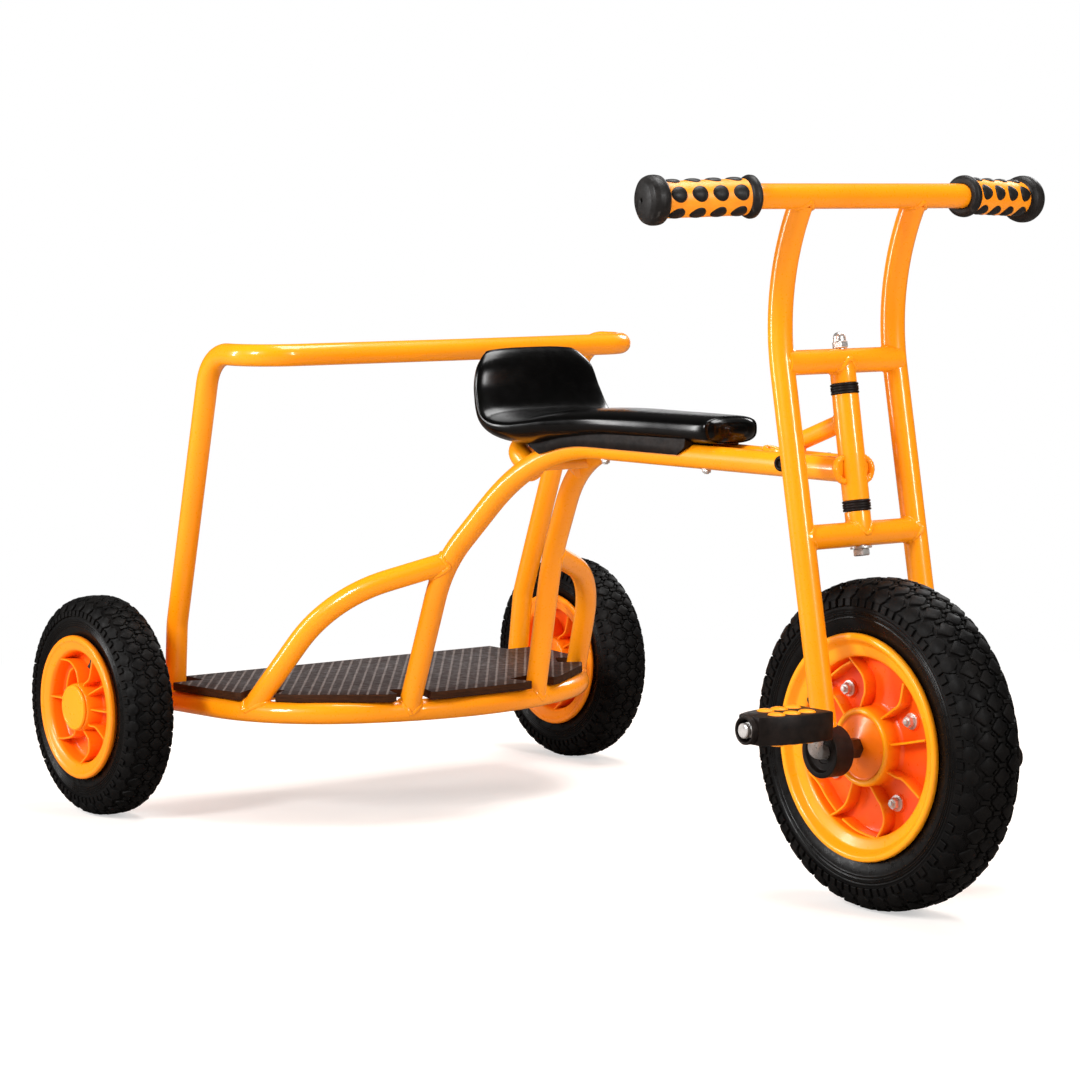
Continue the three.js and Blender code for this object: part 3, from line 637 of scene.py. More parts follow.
def frame_welds():
    beads = []
    for n, (_, side) in enumerate(SIDES):
        main, brace = bent(main_path(side)), bent(brace_path(side))
        foot = main[-1]
        run = unit(main[-1] - main[-2])
        beads.append(bead(foot - run * 40, run, TUBE_R, foot, nearest_direction(RING_LINE, foot), TUBE_R, seed=n))
        toe = brace[-1]
        run = unit(brace[-1] - brace[-2])
        beads.append(bead(toe - run * 40, run, TUBE_R, toe, nearest_direction(RING_LINE, toe), TUBE_R, seed=n + 1))
        top = brace[0]
        run = unit(brace[0] - brace[1])
        beads.append(bead(top - run * 40, run, TUBE_R, top, nearest_direction(main, top), TUBE_R, seed=n + 2))
        post = bent(hoop_path())
        post = post if side < 0 else post[::-1]
        run = unit(post[0] - post[1])
        beads.append(bead(post[0] - run * 40, run, TUBE_R, V(RX + 30, side * 245, RZ), V(-1, side * 0.28, 0), TUBE_R, seed=n + 3))
        head_end = main[0]
        run = unit(main[0] - main[1])
        beads.append(bead(head_end - run * 60, run, TUBE_R, STEER, UP, 13, seed=n + 4))
        end = V(RX, side * RING_END_Y, RZ)
        beads.append(sweep(V(RX, end[1] - side * 1.5, RZ) + np.column_stack([circle(TUBE_R + 0.6, 80)[:, 0], np.zeros(80),
                           circle(TUBE_R + 0.6, 80)[:, 1]]), circle(1.9, 8), loop=True))
    low, high = V(FX - 143, 0, MAIN_Z + 13), on_axis(110)
    run = unit(high - low)
    beads.append(bead(high - run * 60, run, 9, STEER, UP, 13, seed=5))
    beads.append(bead(low + run * 60, -run, 9, V(low[0], 0, MAIN_Z - 2), V(1, 0, 0), 14, seed=6))
    build("frame_weld_beads", merged(*beads), PAINT, "frame", slot="frame_paint")


def platform():
    half = [(RX - 11, 214), (RX + 27, 214), (RX + 27, 253), (RX + 45, 253), (FX - 788, 240), (FX - 729, 196),
            (FX - 670, 118), (FX - 653, 55)]
    outline = half + [(x, -y) for x, y in reversed(half)]
    bottom, top = RZ + TUBE_R + 0.3, RZ + TUBE_R + 9.3
    sheet = slab(np.array(outline), bottom, top, 0.8)
    obj = build("platform_sheet", sheet, BOARD, "frame", ["platform_board"], "board", sharp=25)
    cut_notches(obj, bottom, top)


def cut_notches(obj, bottom, top):
    """Square slots for the feet of the main tubes and braces, taken out with one boolean."""
    boxes = []
    for _, side in SIDES:
        for path in (main_path(side), brace_path(side)):
            line = bent(path)
            foot = line[-1]
            slope = line[-2] - foot
            at = foot + slope * ((bottom + top) / 2 - foot[2]) / slope[2]
            out = math.atan2(foot[1], foot[0] - RX)
            box = rounded_box(V(-TUBE_R - 12, -TUBE_R - 8, bottom - 4), V(82 - TUBE_R, TUBE_R + 8, top + 4), 4.0, 5)
            turn = np.array([[math.cos(out), math.sin(out), 0], [-math.sin(out), math.cos(out), 0], [0, 0, 1]])
            boxes.append((box[0] @ turn + V(at[0], at[1], 0), box[1]))
    points, faces = merged(*boxes)
    mesh = bpy.data.meshes.new("notch_tool")
    mesh.from_pydata([tuple(p) for p in points * MM], [], faces)
    tool = bpy.data.objects.new("notch_tool", mesh)
    bpy.context.scene.collection.objects.link(tool)
    bool_mod = obj.modifiers.new("notches", "BOOLEAN")
    bool_mod.operation = "DIFFERENCE"
    bool_mod.object = tool
    bool_mod.solver = "EXACT"
    apply_modifiers(obj)
    bpy.data.objects.remove(tool)
    obj.data.set_sharp_from_angle(angle=math.radians(25))


def apply_modifiers(obj):
    bpy.context.view_layer.update()
    depsgraph = bpy.context.evaluated_depsgraph_get()
    fresh = bpy.data.meshes.new_from_object(obj.evaluated_get(depsgraph))
    obj.modifiers.clear()
    obj.data = fresh


# ---- seat ----
SEAT_SPINE = [
    (-220, 449.8, 15, 6, 6), (-222, 449.8, 23, 9, 9), (-227, 449.8, 30, 12.2, 12.2),
    (-240, 449.8, 37, 14.3, 14.3), (-330, 450, 42, 14.6, 14.6), (-400, 449.8, 51, 14.8, 14.8), (-456, 447, 69, 15, 17.5),
    (-503, 443, 83, 13, 22), (-535, 450.5, 87, 11, 24), (-551, 477, 83.5, 11, 16.5),
    (-557, 500, 77.5, 11, 12), (-562, 513, 67, 9, 9), (-566, 519.5, 58, 6, 6),
]


def catmull(values, count):
    """Smooth curve through rows of values, evenly spread over the rows."""
    values = np.asarray(values, float)
    padded = np.vstack([2 * values[0] - values[1], values, 2 * values[-1] - values[-2]])
    out = []
    for u in np.linspace(0, len(values) - 1, count):
        i = min(int(u), len(values) - 2)
        t = u - i
        p0, p1, p2, p3 = padded[i:i + 4]
        out.append(0.5 * (2 * p1 + (p2 - p0) * t + (2 * p0 - 5 * p1 + 4 * p2 - p3) * t * t
                          + (3 * p1 - p0 - 3 * p2 + p3) * t ** 3))
    return np.array(out)


SEAT_ROUND = (0.66, 0.86)  # exponent of the cross section at nose and backrest: 1 is an ellipse, less is boxier


def seat():
    rows = catmull(SEAT_SPINE, 120)
    spine = np.column_stack([FX + rows[:, 0], np.zeros(len(rows)), rows[:, 1]])
    t = tangents(spine)
    around = 72
    angles = np.arange(around) * 2 * math.pi / around
    c, s = np.cos(angles), np.sin(angles)
    rings = []
    for i, (p, d) in enumerate(zip(spine, t)):
        lift = V(d[2], 0, -d[0])
        along = i / (len(rows) - 1)
        power = SEAT_ROUND[0] + (SEAT_ROUND[1] - SEAT_ROUND[0]) * smooth(0.3, 0.6, along)
        dish = 0.05 * smooth(0.12, 0.5, along) * (1 - smooth(0.86, 1.0, along))
        across = rows[i, 2] * np.sign(c) * np.abs(c) ** power
        raised = np.where(s > 0, rows[i, 3], -rows[i, 4]) * np.abs(s) ** power
        raised = raised * np.where(s > 0, 1 - dish * (1 - (across / rows[i, 2]) ** 2), 1)
        rings.append(p + raised[:, None] * lift + np.column_stack([np.zeros(around), across, np.zeros(around)]))
    front, back = rings[0], rings[-1]
    for shrink, out in ((0.86, 1.1), (0.62, 1.9), (0.3, 2.3)):
        rings.insert(0, front.mean(0) + (front - front.mean(0)) * shrink - t[0] * out)
        rings.append(back.mean(0) + (back - back.mean(0)) * shrink + t[-1] * out)
    n = len(rings)
    faces = ring_faces(n, around)
    faces += [tuple(range(around - 1, -1, -1)), tuple((n - 1) * around + k for k in range(around))]
    build("seat_moulding", (np.vstack(rings), faces), SEAT, "frame", ["seat_shell"], "seat_plastic", sharp=75)


def smooth(a, b, x):
    t = min(max((x - a) / (b - a), 0), 1)
    return t * t * (3 - 2 * t)


def seat_skirt():
    """Flange of the saddle that lies along the outer side of each main tube, cut slanting at both ends."""
    section = [(12.3, 1.8), (14.6, 1.4), (15.2, 2.2), (15.0, 10), (13.5, 22), (-14, 22), (-14, 13.2), (0, 12.9), (8.5, 9.5)]
    n = len(section)
    parts = []
    for _, side in SIDES:
        line = bent(main_path(side))
        dense = np.vstack([line[0] + (line[1] - line[0]) * k / 60 for k in range(60)] + [line[1:]])
        chosen = dense[(dense[:, 0] > FX - 494) & (dense[:, 0] < FX - 270)]
        rows = []
        for i, (p, t) in enumerate(zip(chosen, tangents(chosen))):
            out = unit(V(0, side, 0) - t * (t[1] * side))
            lean = 1.5 if i == 0 else -2.2 if i == len(chosen) - 1 else 0.0
            rows.append([p + out * a + V(lean * min(b, 10), 0, b) for a, b in section])
        faces = ring_faces(len(rows), n)
        faces += [tuple(range(n - 1, -1, -1)), tuple((len(rows) - 1) * n + k for k in range(n))]
        parts.append((np.array(rows).reshape(-1, 3), faces))
    deck = rounded_box(V(FX - 480, -30, 427), V(FX - 272, 30, 440), 8)
    build("seat_skirt", merged(deck, *parts), PLASTIC, "frame", ["seat_base"], "seat_plastic", sharp=40)


def seat_bolts():
    for label, side in SIDES:
        for place, x in (("front", -243), ("rear", -400)):
            at = where(bent(main_path(side)), 0, FX + x) - V(0, 0, TUBE_R - 1)
            washer = lathe(filleted([(0, 0), (5.4, 0), (5.4, -1.2), (0, -1.2)], 0.3, closed=False), at, V(0, 0, 1), 32, False)
            nut = hexagon(at + V(0, 0, -1.0), V(0, 0, -1), 8, 3.4)
            stud = straight(at + V(0, 0, -4), at + V(0, 0, -5.6), 2.4, 16, 0.5)
            build(f"seat_screw_{place}_{label}", merged(washer, nut, stud), ZINC, "frame",
                  [f"seat_bolt_{place}_{label}"], "zinc_steel")


def buffers():
    for label, side in SIDES:
        profile = [(0, 0), (8, 0), (8, 17), (6.8, 20), (4.2, 20), (3.4, 17.5), (0, 17.5)]
        at = V(FX - 116, side * 14.6, MAIN_Z)
        build(f"buffer_plug_{label}", lathe(filleted(profile, 0.8, closed=False), at, V(0, side, 0), 40, False), PLASTIC,
              "frame", [f"steering_buffer_{label}"], "black_plastic")


# ---- steering ----
LEG_END = 21.0  # from the axle's centre to the end of a leg, inside the wall of its housing


def fork():
    paint = dict(material=PAINT, body="fork", slot="frame_paint")
    for label, side in SIDES:
        line = bent(leg_path(side), math.radians(1.5))[:-2]
        line[0] = line[0] + unit(line[1] - line[0]) * LEG_END
        build(f"leg_tube_{label}", sweep(line, circle(TUBE_R)), nodes=[f"fork_leg_{label}"], **paint)
    build("bar_tube", tube(bar_path()), nodes=["handlebar"], **paint)
    beads = []
    for s, name, stub in ((0, "lower", (0, 21.7)), (CROSS_SPACING, "upper", (145.5, CROSS_SPACING))):
        at = on_axis(s)
        tube_ = straight(at - V(0, LEG_Y, 0), at + V(0, LEG_Y, 0), TUBE_R)
        collar = straight(on_axis(stub[0]), on_axis(stub[1]), TUBE_R + 0.5, 48, 0.6)
        build(f"cross_tube_{name}", merged(tube_, collar), nodes=[f"fork_cross_{name}"], **paint)
        run = UP if s else -UP
        beads.append(bead(at - run * 40, run, TUBE_R + 0.4, at, V(0, 1, 0), TUBE_R, seed=s))
        for _, side in SIDES:
            leg = bent(leg_path(side))
            hit = where(leg, 2, at[2])
            beads.append(bead(V(hit[0], side * 20, at[2]), V(0, side, 0), TUBE_R, hit, nearest_direction(leg, hit),
                              TUBE_R, seed=side + s))
    for _, side in SIDES:
        leg = bent(leg_path(side))
        run = unit(leg[-1] - leg[-3])
        beads.append(bead(leg[-1] - run * 40, run, TUBE_R, leg[-1], V(0, 1, 0), TUBE_R, seed=3 + side))
    build("fork_weld_beads", merged(*beads), PAINT, "fork", slot="frame_paint")


def steering_column():
    def bush(s, name, body):
        profile = filleted([(5.4, 0), (13.7, 0), (13.7, 1.9), (12.7, 2.2), (12.7, 2.6), (13.7, 2.9), (13.7, 4.8), (5.4, 4.8)], 0.35, 2)
        build(f"{name}_disc", lathe(profile, on_axis(s), UP, 48), PLASTIC, body, [name], "black_plastic", sharp=30)

    bush(27.3, "head_bush_lower", "frame")
    bush(135.1, "head_bush_upper", "frame")
    bush(22.2, "fork_bush_lower", "fork")
    bush(140.2, "fork_bush_upper", "fork")
    build("steering_rod", straight(on_axis(-21), on_axis(CROSS_SPACING + 23), 5, 24, 0.8), ZINC, "fork",
          ["steering_bolt"], "zinc_steel")
    nut = hexagon(on_axis(CROSS_SPACING + 12), UP, 13.5, 7)
    profile = [(6.2, 0), (6.2, 4), (5.6, 6.8), (3.9, 8.8), (1.6, 9.7), (0, 9.9)]
    dome = lathe(profile, on_axis(CROSS_SPACING + 18.2), UP, 36, False)
    build("acorn_nut", merged(nut, dome), ZINC, "fork", ["dome_nut"], "zinc_steel")
    washer = lathe(filleted([(0, 0), (10.5, 0), (10.5, 2), (0, 2)], 0.4, closed=False), on_axis(-14.3), UP, 40, False)
    nut = hexagon(on_axis(-14.3), -UP, 14, 7)
    build("lower_lock_nut", merged(washer, nut), ZINC, "fork", ["lock_nut"], "zinc_steel")


def grip_frame(side):
    corner = V(BAR_X, side * BAR_BEND_Y, BAR_Z)
    return corner, unit(bar_ends()[side] - corner)


def grips():
    for label, side in SIDES:
        corner, along = grip_frame(side)
        at = corner + along * GRIP_START
        inner = [(12.2, 0), (17.5, 0), (20.2, 2.5), (20.6, 6.5), (19, 9.8), (16.6, 11.2), (16.2, 13), (12.2, 13)]
        cap = [(12.2, 96), (16.4, 96), (19.8, 97.4), (22.6, 100.5), (23.4, 105), (23.2, 110), (21.4, 114.4), (17, 117.2),
               (11, 118.4), (3.2, 119), (1.9, 118.2), (1.7, 114), (0, 114)]
        shapes = [lathe(filleted(inner, 1.2), at, along, 64), lathe(filleted(cap, 1.2, closed=False), at, along, 64, False)]
        shapes += grip_bumps(side)
        build(f"grip_rubber_{label}", merged(*shapes), RUBBER, "fork", [f"grip_{label}"], "black_rubber", sharp=50)
        sleeve = lathe(filleted([(12.2, 11), (17.0, 11), (17.2, 55), (17.0, 98), (12.2, 98)], 0.5), at, along, 64)
        build(f"grip_cover_{label}", sleeve, ORANGE, "fork", [f"grip_sleeve_{label}"], "orange_plastic")


def grip_bumps(side):
    """Egg-shaped rubber bumps standing out through the sleeve: five rows of four."""
    corner, along = grip_frame(side)
    e1 = unit(V(1, 0, 0) - along * along[0])
    e2 = V(0, 0, 1)
    e2 = unit(e2 - along * (e2 @ along) - e1 * (e2 @ e1))
    bumps = []
    for row in range(5):
        middle = math.radians(17 + 72 * row)
        for k in range(4):
            s0 = GRIP_START + 22.5 + 21.7 * k
            bumps.append(egg(corner, along, e1, e2, s0, middle, 17.0))
    return bumps


def egg(corner, along, e1, e2, s0, middle, radius, length=8.6, width=8.2, height=2.3):
    rings, around = 6, 28
    pts, faces = [], []
    for i in range(rings):
        share = math.cos(i / (rings - 1) * math.pi / 2)
        lift = height * math.sin(i / (rings - 1) * math.pi / 2)
        for k in range(around):
            a = 2 * math.pi * k / around
            s = s0 + length * share * math.cos(a)
            half = width * share * math.sin(a) * (1 - 0.22 * math.cos(a))
            angle = middle + half / radius
            out = math.cos(angle) * e1 + math.sin(angle) * e2
            pts.append(corner + along * s + out * (radius - 0.4 + lift))
    faces = ring_faces(rings, around)
    faces.append(tuple(range(around - 1, -1, -1)))
    return np.array(pts), faces


def housings():
    for label, side in SIDES:
        r, w = 24.6, 11.3
        outer = [(7.4, w - 6.5), (11, w - 6.5), (11.4, w - 5), (17.4, w - 5), (18.4, w - 3.5), (19.4, w), (r - 0.2, w)]
        inner = [(r, w - 0.8), (r, -w + 0.8), (r - 1, -w), (16, -w), (15, -w + 1.2), (7.4, -w + 1.2)]
        at = V(FX, side * LEG_Y, FZ)
        build(f"axle_barrel_{label}", lathe(filleted(outer + inner, 0.6), at, V(0, side, 0), 72), PLASTIC, "fork",
              [f"axle_housing_{label}"], "black_plastic")


# ---- wheels ----
def tyre_curve(crown, bead_r, half_width, depth):
    """Carcass section from bead to bead: (across, radius) points, and outward normals."""
    t = crown - depth - bead_r
    half = [(0.80, 0.0), (0.86, 0.07), (0.92, 0.16), (0.985, 0.32), (1.0, 0.5), (0.965, 0.68), (0.86, 0.84),
            (0.66, 0.945), (0.38, 0.99), (0.0, 1.0)]
    control = [(-w * half_width, bead_r + k * t) for w, k in half]
    control += [(-y, r) for y, r in reversed(control[:-1])]
    curve = catmull(control, 260)
    d = np.gradient(curve, axis=0)
    d /= np.linalg.norm(d, axis=1)[:, None]
    normal = np.stack([-d[:, 1], d[:, 0]], 1)
    if normal[len(normal) // 2, 1] < 0:
        normal = -normal
    steps = np.r_[0, np.cumsum(np.linalg.norm(np.diff(curve, axis=0), axis=1))]
    return curve, normal, steps - steps[len(steps) // 2]


class Carcass:
    def __init__(self, centre, crown, bead_r, half_width, depth):
        self.centre = centre
        self.curve, self.normal, self.s = tyre_curve(crown, bead_r, half_width, depth)
        self.crown = crown - depth

    def at(self, s, theta, lift):
        y = np.interp(s, self.s, self.curve[:, 0]) + lift * np.interp(s, self.s, self.normal[:, 0])
        r = np.interp(s, self.s, self.curve[:, 1]) + lift * np.interp(s, self.s, self.normal[:, 1])
        return self.centre + np.column_stack([r * np.cos(theta), y, r * np.sin(theta)])

    def body(self, sides, ribs):
        """Turned skin with fine raised rings on both sidewalls."""
        lift = np.zeros(len(self.s))
        for s0 in ribs:
            for sign in (-1, 1):
                lift += 0.7 * np.exp(-((self.s - sign * s0) / 0.65) ** 2)
        points = self.curve + self.normal * lift[:, None]
        profile = [(r, y) for y, r in points]
        return lathe(profile, self.centre, V(0, 1, 0), sides)

    def block(self, s0, theta0, outline, height, sink=0.6):
        """Raised tread block: outline in (along circumference, across) mm round its middle."""
        outline = np.asarray(outline, float)
        middle = outline.mean(0)
        rows = []
        for shrink, lift in ((1.0, -sink), (0.97, height * 0.55), (0.90, height * 0.88), (0.78, height)):
            o = middle + (outline - middle) * shrink
            radius = np.interp(s0 + o[:, 1], self.s, self.curve[:, 1])
            rows.append(self.at(s0 + o[:, 1], theta0 + o[:, 0] / radius, lift))
        n = len(outline)
        top = rows[-1].mean(0)
        faces = ring_faces(4, n)
        faces += [tuple(range(n - 1, -1, -1))] + [(3 * n + k, 3 * n + (k + 1) % n, 4 * n) for k in range(n)]
        return np.vstack(rows + [top[None]]), faces


def lozenge(rx, ry, cut=0.14):
    """Diamond with its four points cut off."""
    return np.array([(rx, -cut * ry), (rx, cut * ry), (cut * rx, ry), (-cut * rx, ry),
                     (-rx, cut * ry), (-rx, -cut * ry), (-cut * rx, -ry), (cut * rx, -ry)])


def bar_outline(length, width, angle=0.0):
    o = np.array([(-length, -width), (length, -width), (length, width), (-length, width)]) / 2
    c, s = math.cos(angle), math.sin(angle)
    return o @ np.array([[c, s], [-s, c]])


def tyre(name, body, node, centre, crown, bead_r, half_width, count, knob, row, sides):
    depth = 2.7
    carcass = Carcass(centre, crown, bead_r, half_width, depth)
    edge = row * 2 + knob * 1.25
    shapes = [carcass.body(sides, [edge + 7.2, edge + 9.6, edge + 12.0, edge + 14.4])]
    step = 2 * math.pi / count
    for i in range(count):
        a = i * step
        shapes.append(carcass.block(0, a + step / 2, lozenge(knob * 1.06, knob * 1.12), depth))
        shapes.append(carcass.block(0, a, bar_outline(4.2, knob * 1.1), depth * 0.85))
        for sign in (-1, 1):
            shapes.append(carcass.block(sign * row, a, lozenge(knob * 1.06, knob * 1.12), depth))
            shapes.append(carcass.block(sign * row, a + step / 2, bar_outline(4.2, knob * 1.2), depth * 0.85))
            shapes.append(carcass.block(sign * row * 2, a + step / 2, lozenge(knob * 0.98, knob * 0.9, 0.4), depth * 0.95))
            for k in (0, 1):
                shapes.append(carcass.block(sign * row * 2, a + (k - 0.5) * step * 0.34, bar_outline(2.8, knob * 1.0, sign * (0.5 - k)), depth * 0.8))
            for k in (0, 0.5):
                shapes.append(carcass.block(sign * edge, a + k * step, bar_outline(knob * 0.86, knob * 0.95), depth * 0.8))
                shapes.append(carcass.block(sign * (row * 0.5), a + (k + 0.25) * step, bar_outline(2.2, 4.6, sign * (0.7 if k else -0.7)), depth * 0.75))
    shape = merged(*shapes)
    off = shape[0] - centre
    rim = np.interp(edge + knob * 0.7, carcass.s, carcass.curve[:, 1])
    wall = np.clip((rim - np.hypot(off[:, 0], off[:, 2])) / 2.0, 0, 1)
    build(name, shape, TYRE, body, [node], "tyre", sharp=32, attribute=wall)


def rim_profile(half, fillet=1.4):
    loop = [(r, y) for r, y in half] + [(r, -y) for r, y in reversed(half)]
    return filleted(loop, fillet, 4)


def rib(centre, stations, floor, top, thickness=2.4, face=-1):
    """Thin curved wall in a wheel dish; stations are (radius, degrees) from +X towards +Z."""
    polar = catmull([(r * math.cos(math.radians(a)), r * math.sin(math.radians(a))) for r, a in stations], 26)
    d = tangents(polar)
    side = np.stack([-d[:, 1], d[:, 0]], 1)
    half = thickness / 2
    section = [(-half * 1.35, floor - 1), (-half, floor + 3), (-half, top - 0.8), (-half * 0.45, top), (half * 0.45, top),
               (half, top - 0.8), (half, floor + 3), (half * 1.35, floor - 1)]
    rows = []
    for p, n in zip(polar, side):
        rows.append([V(centre[0] + p[0] + n[0] * a, centre[1] + face * y, centre[2] + p[1] + n[1] * a) for a, y in section])
    n = len(section)
    faces = ring_faces(len(rows), n)
    faces += [tuple(range(n - 1, -1, -1)), tuple((len(rows) - 1) * n + k for k in range(n))]
    return np.array(rows).reshape(-1, 3), faces


FRONT_RIBS = [
    [(35, 101), (45, 93), (54, 89), (68, 92), (86, 104)],
    [(82, 103.5), (80, 113), (79, 122), (80, 131), (86, 140)],
    [(36, 52.5), (54, 45.5), (68, 44), (86, 51)],
    [(36, 9.6), (60, 10.3), (86, 11)],
    [(36, -33), (50, -28), (61, -25), (86, -27)],
    [(36, -77.5), (50, -69), (61, -65.3), (75, -68), (88, -78)],
    [(88, -78), (84, -90), (82, -100), (80, -112)],
    [(36, -113.7), (61, -113.4), (75, -118), (88, -123.4)],
    [(78, -120), (77, -133), (78, -146), (86, -156)],
    [(36, 135), (61, 134.4), (75, 139), (88, 144.4)],
    [(36, 170), (52, 174), (66, 176), (87, 171)],
    [(36, -162), (52, -166), (66, -168), (87, -163)],
]
REAR_RIBS = [
    [(24, 35), (33, 33.8), (63, 28)],
    [(24, 0.3), (40, 0.7), (63, 1.3)],
    [(24, 169), (40, 171.5), (63, 175)],
    [(24, -104), (36, -112), (52, -131), (63, -140)],
    [(24, -40), (31, -36.3), (41.4, -27), (63, -28)],
    [(24, -72), (31, -64), (41.5, -59.4), (53, -68), (63, -88)],
    [(24, 66), (31, 63), (42.6, 54.5), (63, 60)],
    [(24, 88), (33, 93), (42.6, 99.2), (53, 112), (63, 128)],
    [(24, 146), (33, 142.5), (41.7, 117), (44, 104)],
]


def painted_dish_shade(points, centre, floor, top):
    """0 at the height of the lip, 1 on the floor of the dish: painted shade, deepening the rim colour towards the dish
    floor.
    """
    off = np.abs(points[:, 1] - centre[1])
    return np.clip((top - off) / (top - floor), 0, 1)


def front_wheel():
    c = V(FX, 0, FZ)
    tyre("front_tyre_tread", "front_wheel", "front_tyre", c, 160.0, 101.3, 34.0, 43, 8.4, 16.2, 216)
    half = [(7.4, 36.4), (9.6, 36.4), (13, 35.2), (22, 32.4), (30, 29.8), (31.6, 30.4), (33.2, 33), (36, 33), (37.8, 31), (39, 16), (42, 13.5), (82, 13.5),
            (85.5, 16), (86.5, 26.5), (88.5, 28.2), (91, 29.2), (98, 31.2), (100, 33.5), (103, 37.6), (105, 38.8),
            (108.2, 38.4), (109.6, 36.4), (109.6, 33), (105.5, 29.5), (101, 27), (101, 8)]
    shape = lathe(rim_profile(half), c, V(0, 1, 0), 180)
    parts = [shape]
    for face in (-1, 1):
        parts += [rib(c, stations, 13.5, 27.5, face=face) for stations in FRONT_RIBS]
        for a in (29, 123, 210, -56):
            at = c + V(61.5 * math.cos(math.radians(a)), face * 12.8, 61.5 * math.sin(math.radians(a)))
            parts.append(lathe(filleted([(0, 0), (9.6, 0), (9.0, 2.2), (0, 2.2)], 0.8, closed=False), at, V(0, face, 0), 40, False))
    shape = merged(*parts)
    # Painted shade: the rim turns deeper red-orange towards the dish floor, and the hub centre inside radius 31.8 mm
    # gets a fixed 0.55 as the painted shadow of the axle housing.
    depth = painted_dish_shade(shape[0], c, 13.5, 30)
    off = shape[0] - c
    depth[np.hypot(off[:, 0], off[:, 2]) < 31.8] = 0.55
    build("front_rim_moulding", shape, RIM, "front_wheel", ["front_rim"], "rim_plastic", attribute=depth)
    nuts = []
    for a in (29, 123, 210, -56):
        spoke = V(61.5 * math.cos(math.radians(a)), 0, 61.5 * math.sin(math.radians(a)))
        for face in (-1, 1):
            at = c + spoke + V(0, face * 15.2, 0)
            nuts.append(lathe(filleted([(0, 0), (8, 0), (8, 1.4), (0, 1.4)], 0.4, closed=False), at, V(0, face, 0), 32, False))
            nuts.append(hexagon(at + V(0, face * 1.2, 0), V(0, face, 0), 10.5, 5.6, turn=a))
            nuts.append(lathe([(3.1, 0), (3.1, 3.2), (2.4, 4), (0, 4.2)], at + V(0, face * 5.6, 0), V(0, face, 0), 20, False))
    build("front_rim_nuts", merged(*nuts), ZINC, "front_wheel", slot="zinc_steel")
    a = math.radians(155)
    out = V(math.cos(a), 0, math.sin(a))
    at = c + out * 89 + V(0, -23, 0)
    profile = [(0, 0), (4.8, 0), (4.6, 9), (3.9, 11.5), (3.9, 17), (3.5, 17.4), (3.5, 22.5), (2.8, 23.6), (0, 24)]
    build("front_valve_stem", lathe(filleted(profile, 0.4, closed=False), at, unit(-0.94 * out + V(0, -0.34, 0)), 28, False),
          RUBBER, "front_wheel", ["front_valve"], "black_rubber")


def crank():
    throw = V(math.sin(CRANK_ANGLE), 0, math.cos(CRANK_ANGLE))
    c = V(FX, 0, FZ)

    def at(y, r):
        return c + throw * r + V(0, y, 0)

    corners = [(at(-199, CRANK_R), 0), (at(-106, CRANK_R), 16), (at(-90, 0), 16), (at(90, 0), 16),
               (at(106, -CRANK_R), 16), (at(199, -CRANK_R), 0)]
    rod = sweep(bent(corners, math.radians(6)), circle(7, 32), round_ends=0.8)
    build("crank_rod", rod, ZINC, "front_wheel", ["crank_axle"], "zinc_steel")
    collars = [hexagon(c + V(0, side * 29, 0), V(0, side, 0), 17.6, 31.5) for _, side in SIDES]
    build("crank_collars", merged(*collars), DARK, "front_wheel", slot="zinc_steel")
    for label, side in SIDES:
        pivot = joint_mm(f"pedal_{label}_spin")
        face = V(pivot[0], side * 188.6, pivot[2])
        nut = hexagon(face, V(0, side, 0), 14.5, 6.6, turn=0.3)
        tip = lathe([(5.2, 0), (5.2, 3.4), (4.2, 4.3), (0, 4.5)], face + V(0, side * 5.6, 0), V(0, side, 0), 24, False)
        build(f"pedal_end_nut_{label}", merged(nut, tip), ZINC, "front_wheel", [f"pedal_nut_{label}"], "zinc_steel")


def pedal_outline(side, near=112.3, far=192.0):
    right = []
    for t in np.linspace(0, 1, 14):
        p = [(28, near + 3), (32, near + 30), (27, far - 16), (14, far)]
        b = ((1 - t) ** 3, 3 * t * (1 - t) ** 2, 3 * t * t * (1 - t), t ** 3)
        right.append((sum(k * q[0] for k, q in zip(b, p)), sum(k * q[1] for k, q in zip(b, p))))
    right = [(25.5, near), (27.3, near + 0.8)] + right
    outline = right + [(-x, y) for x, y in reversed(right)]
    return np.array([(x, side * y) for x, y in outline])


def pedals():
    for label, side in SIDES:
        body = f"pedal_{label}_body"
        pivot = joint_mm(f"pedal_{label}_spin")
        c = V(pivot[0], 0, pivot[2])
        block = slab(pedal_outline(side), -13.4, 13.4, 1.6)
        boss = [(7.4, -30), (13.3, -30), (13.3, 3.2), (12.9, 3.9), (11.3, 3.9), (10.6, 3.2), (10.4, -6), (7.4, -6)]
        ring = lathe(filleted(boss, 0.5), V(0, side * 194, 0), V(0, side, 0), 48)
        sleeve = lathe(filleted([(7.4, 0), (11, 0), (11, 4), (7.4, 4)], 0.5), V(0, side * 109.4, 0), V(0, side, 0), 36)
        obj = build(f"pedal_block_{label}", moved(block, c), PLASTIC, body, [f"pedal_{label}"], "black_plastic", sharp=30)
        drill(obj, c + V(0, side * 150, 0), side, 7.4, 10.35)
        build(f"pedal_boss_{label}", moved(merged(ring, sleeve), c), PLASTIC, body, slot="black_plastic")
        domes = []
        for sign in (-1, 1):
            for row, shift in ((-1, 0.0), (1, 8.5)):
                for k in range(3):
                    at = V(row * 15.0 * (1 - 0.08 * k), side * (126 + 17.5 * k + shift), sign * 13.2)
                    domes.append(dome(at, sign, 9.2, 7.6, 2.6))
        build(f"pedal_domes_{label}", moved(merged(*domes), c), ORANGE, body, [f"pedal_tread_{label}"], "orange_plastic")


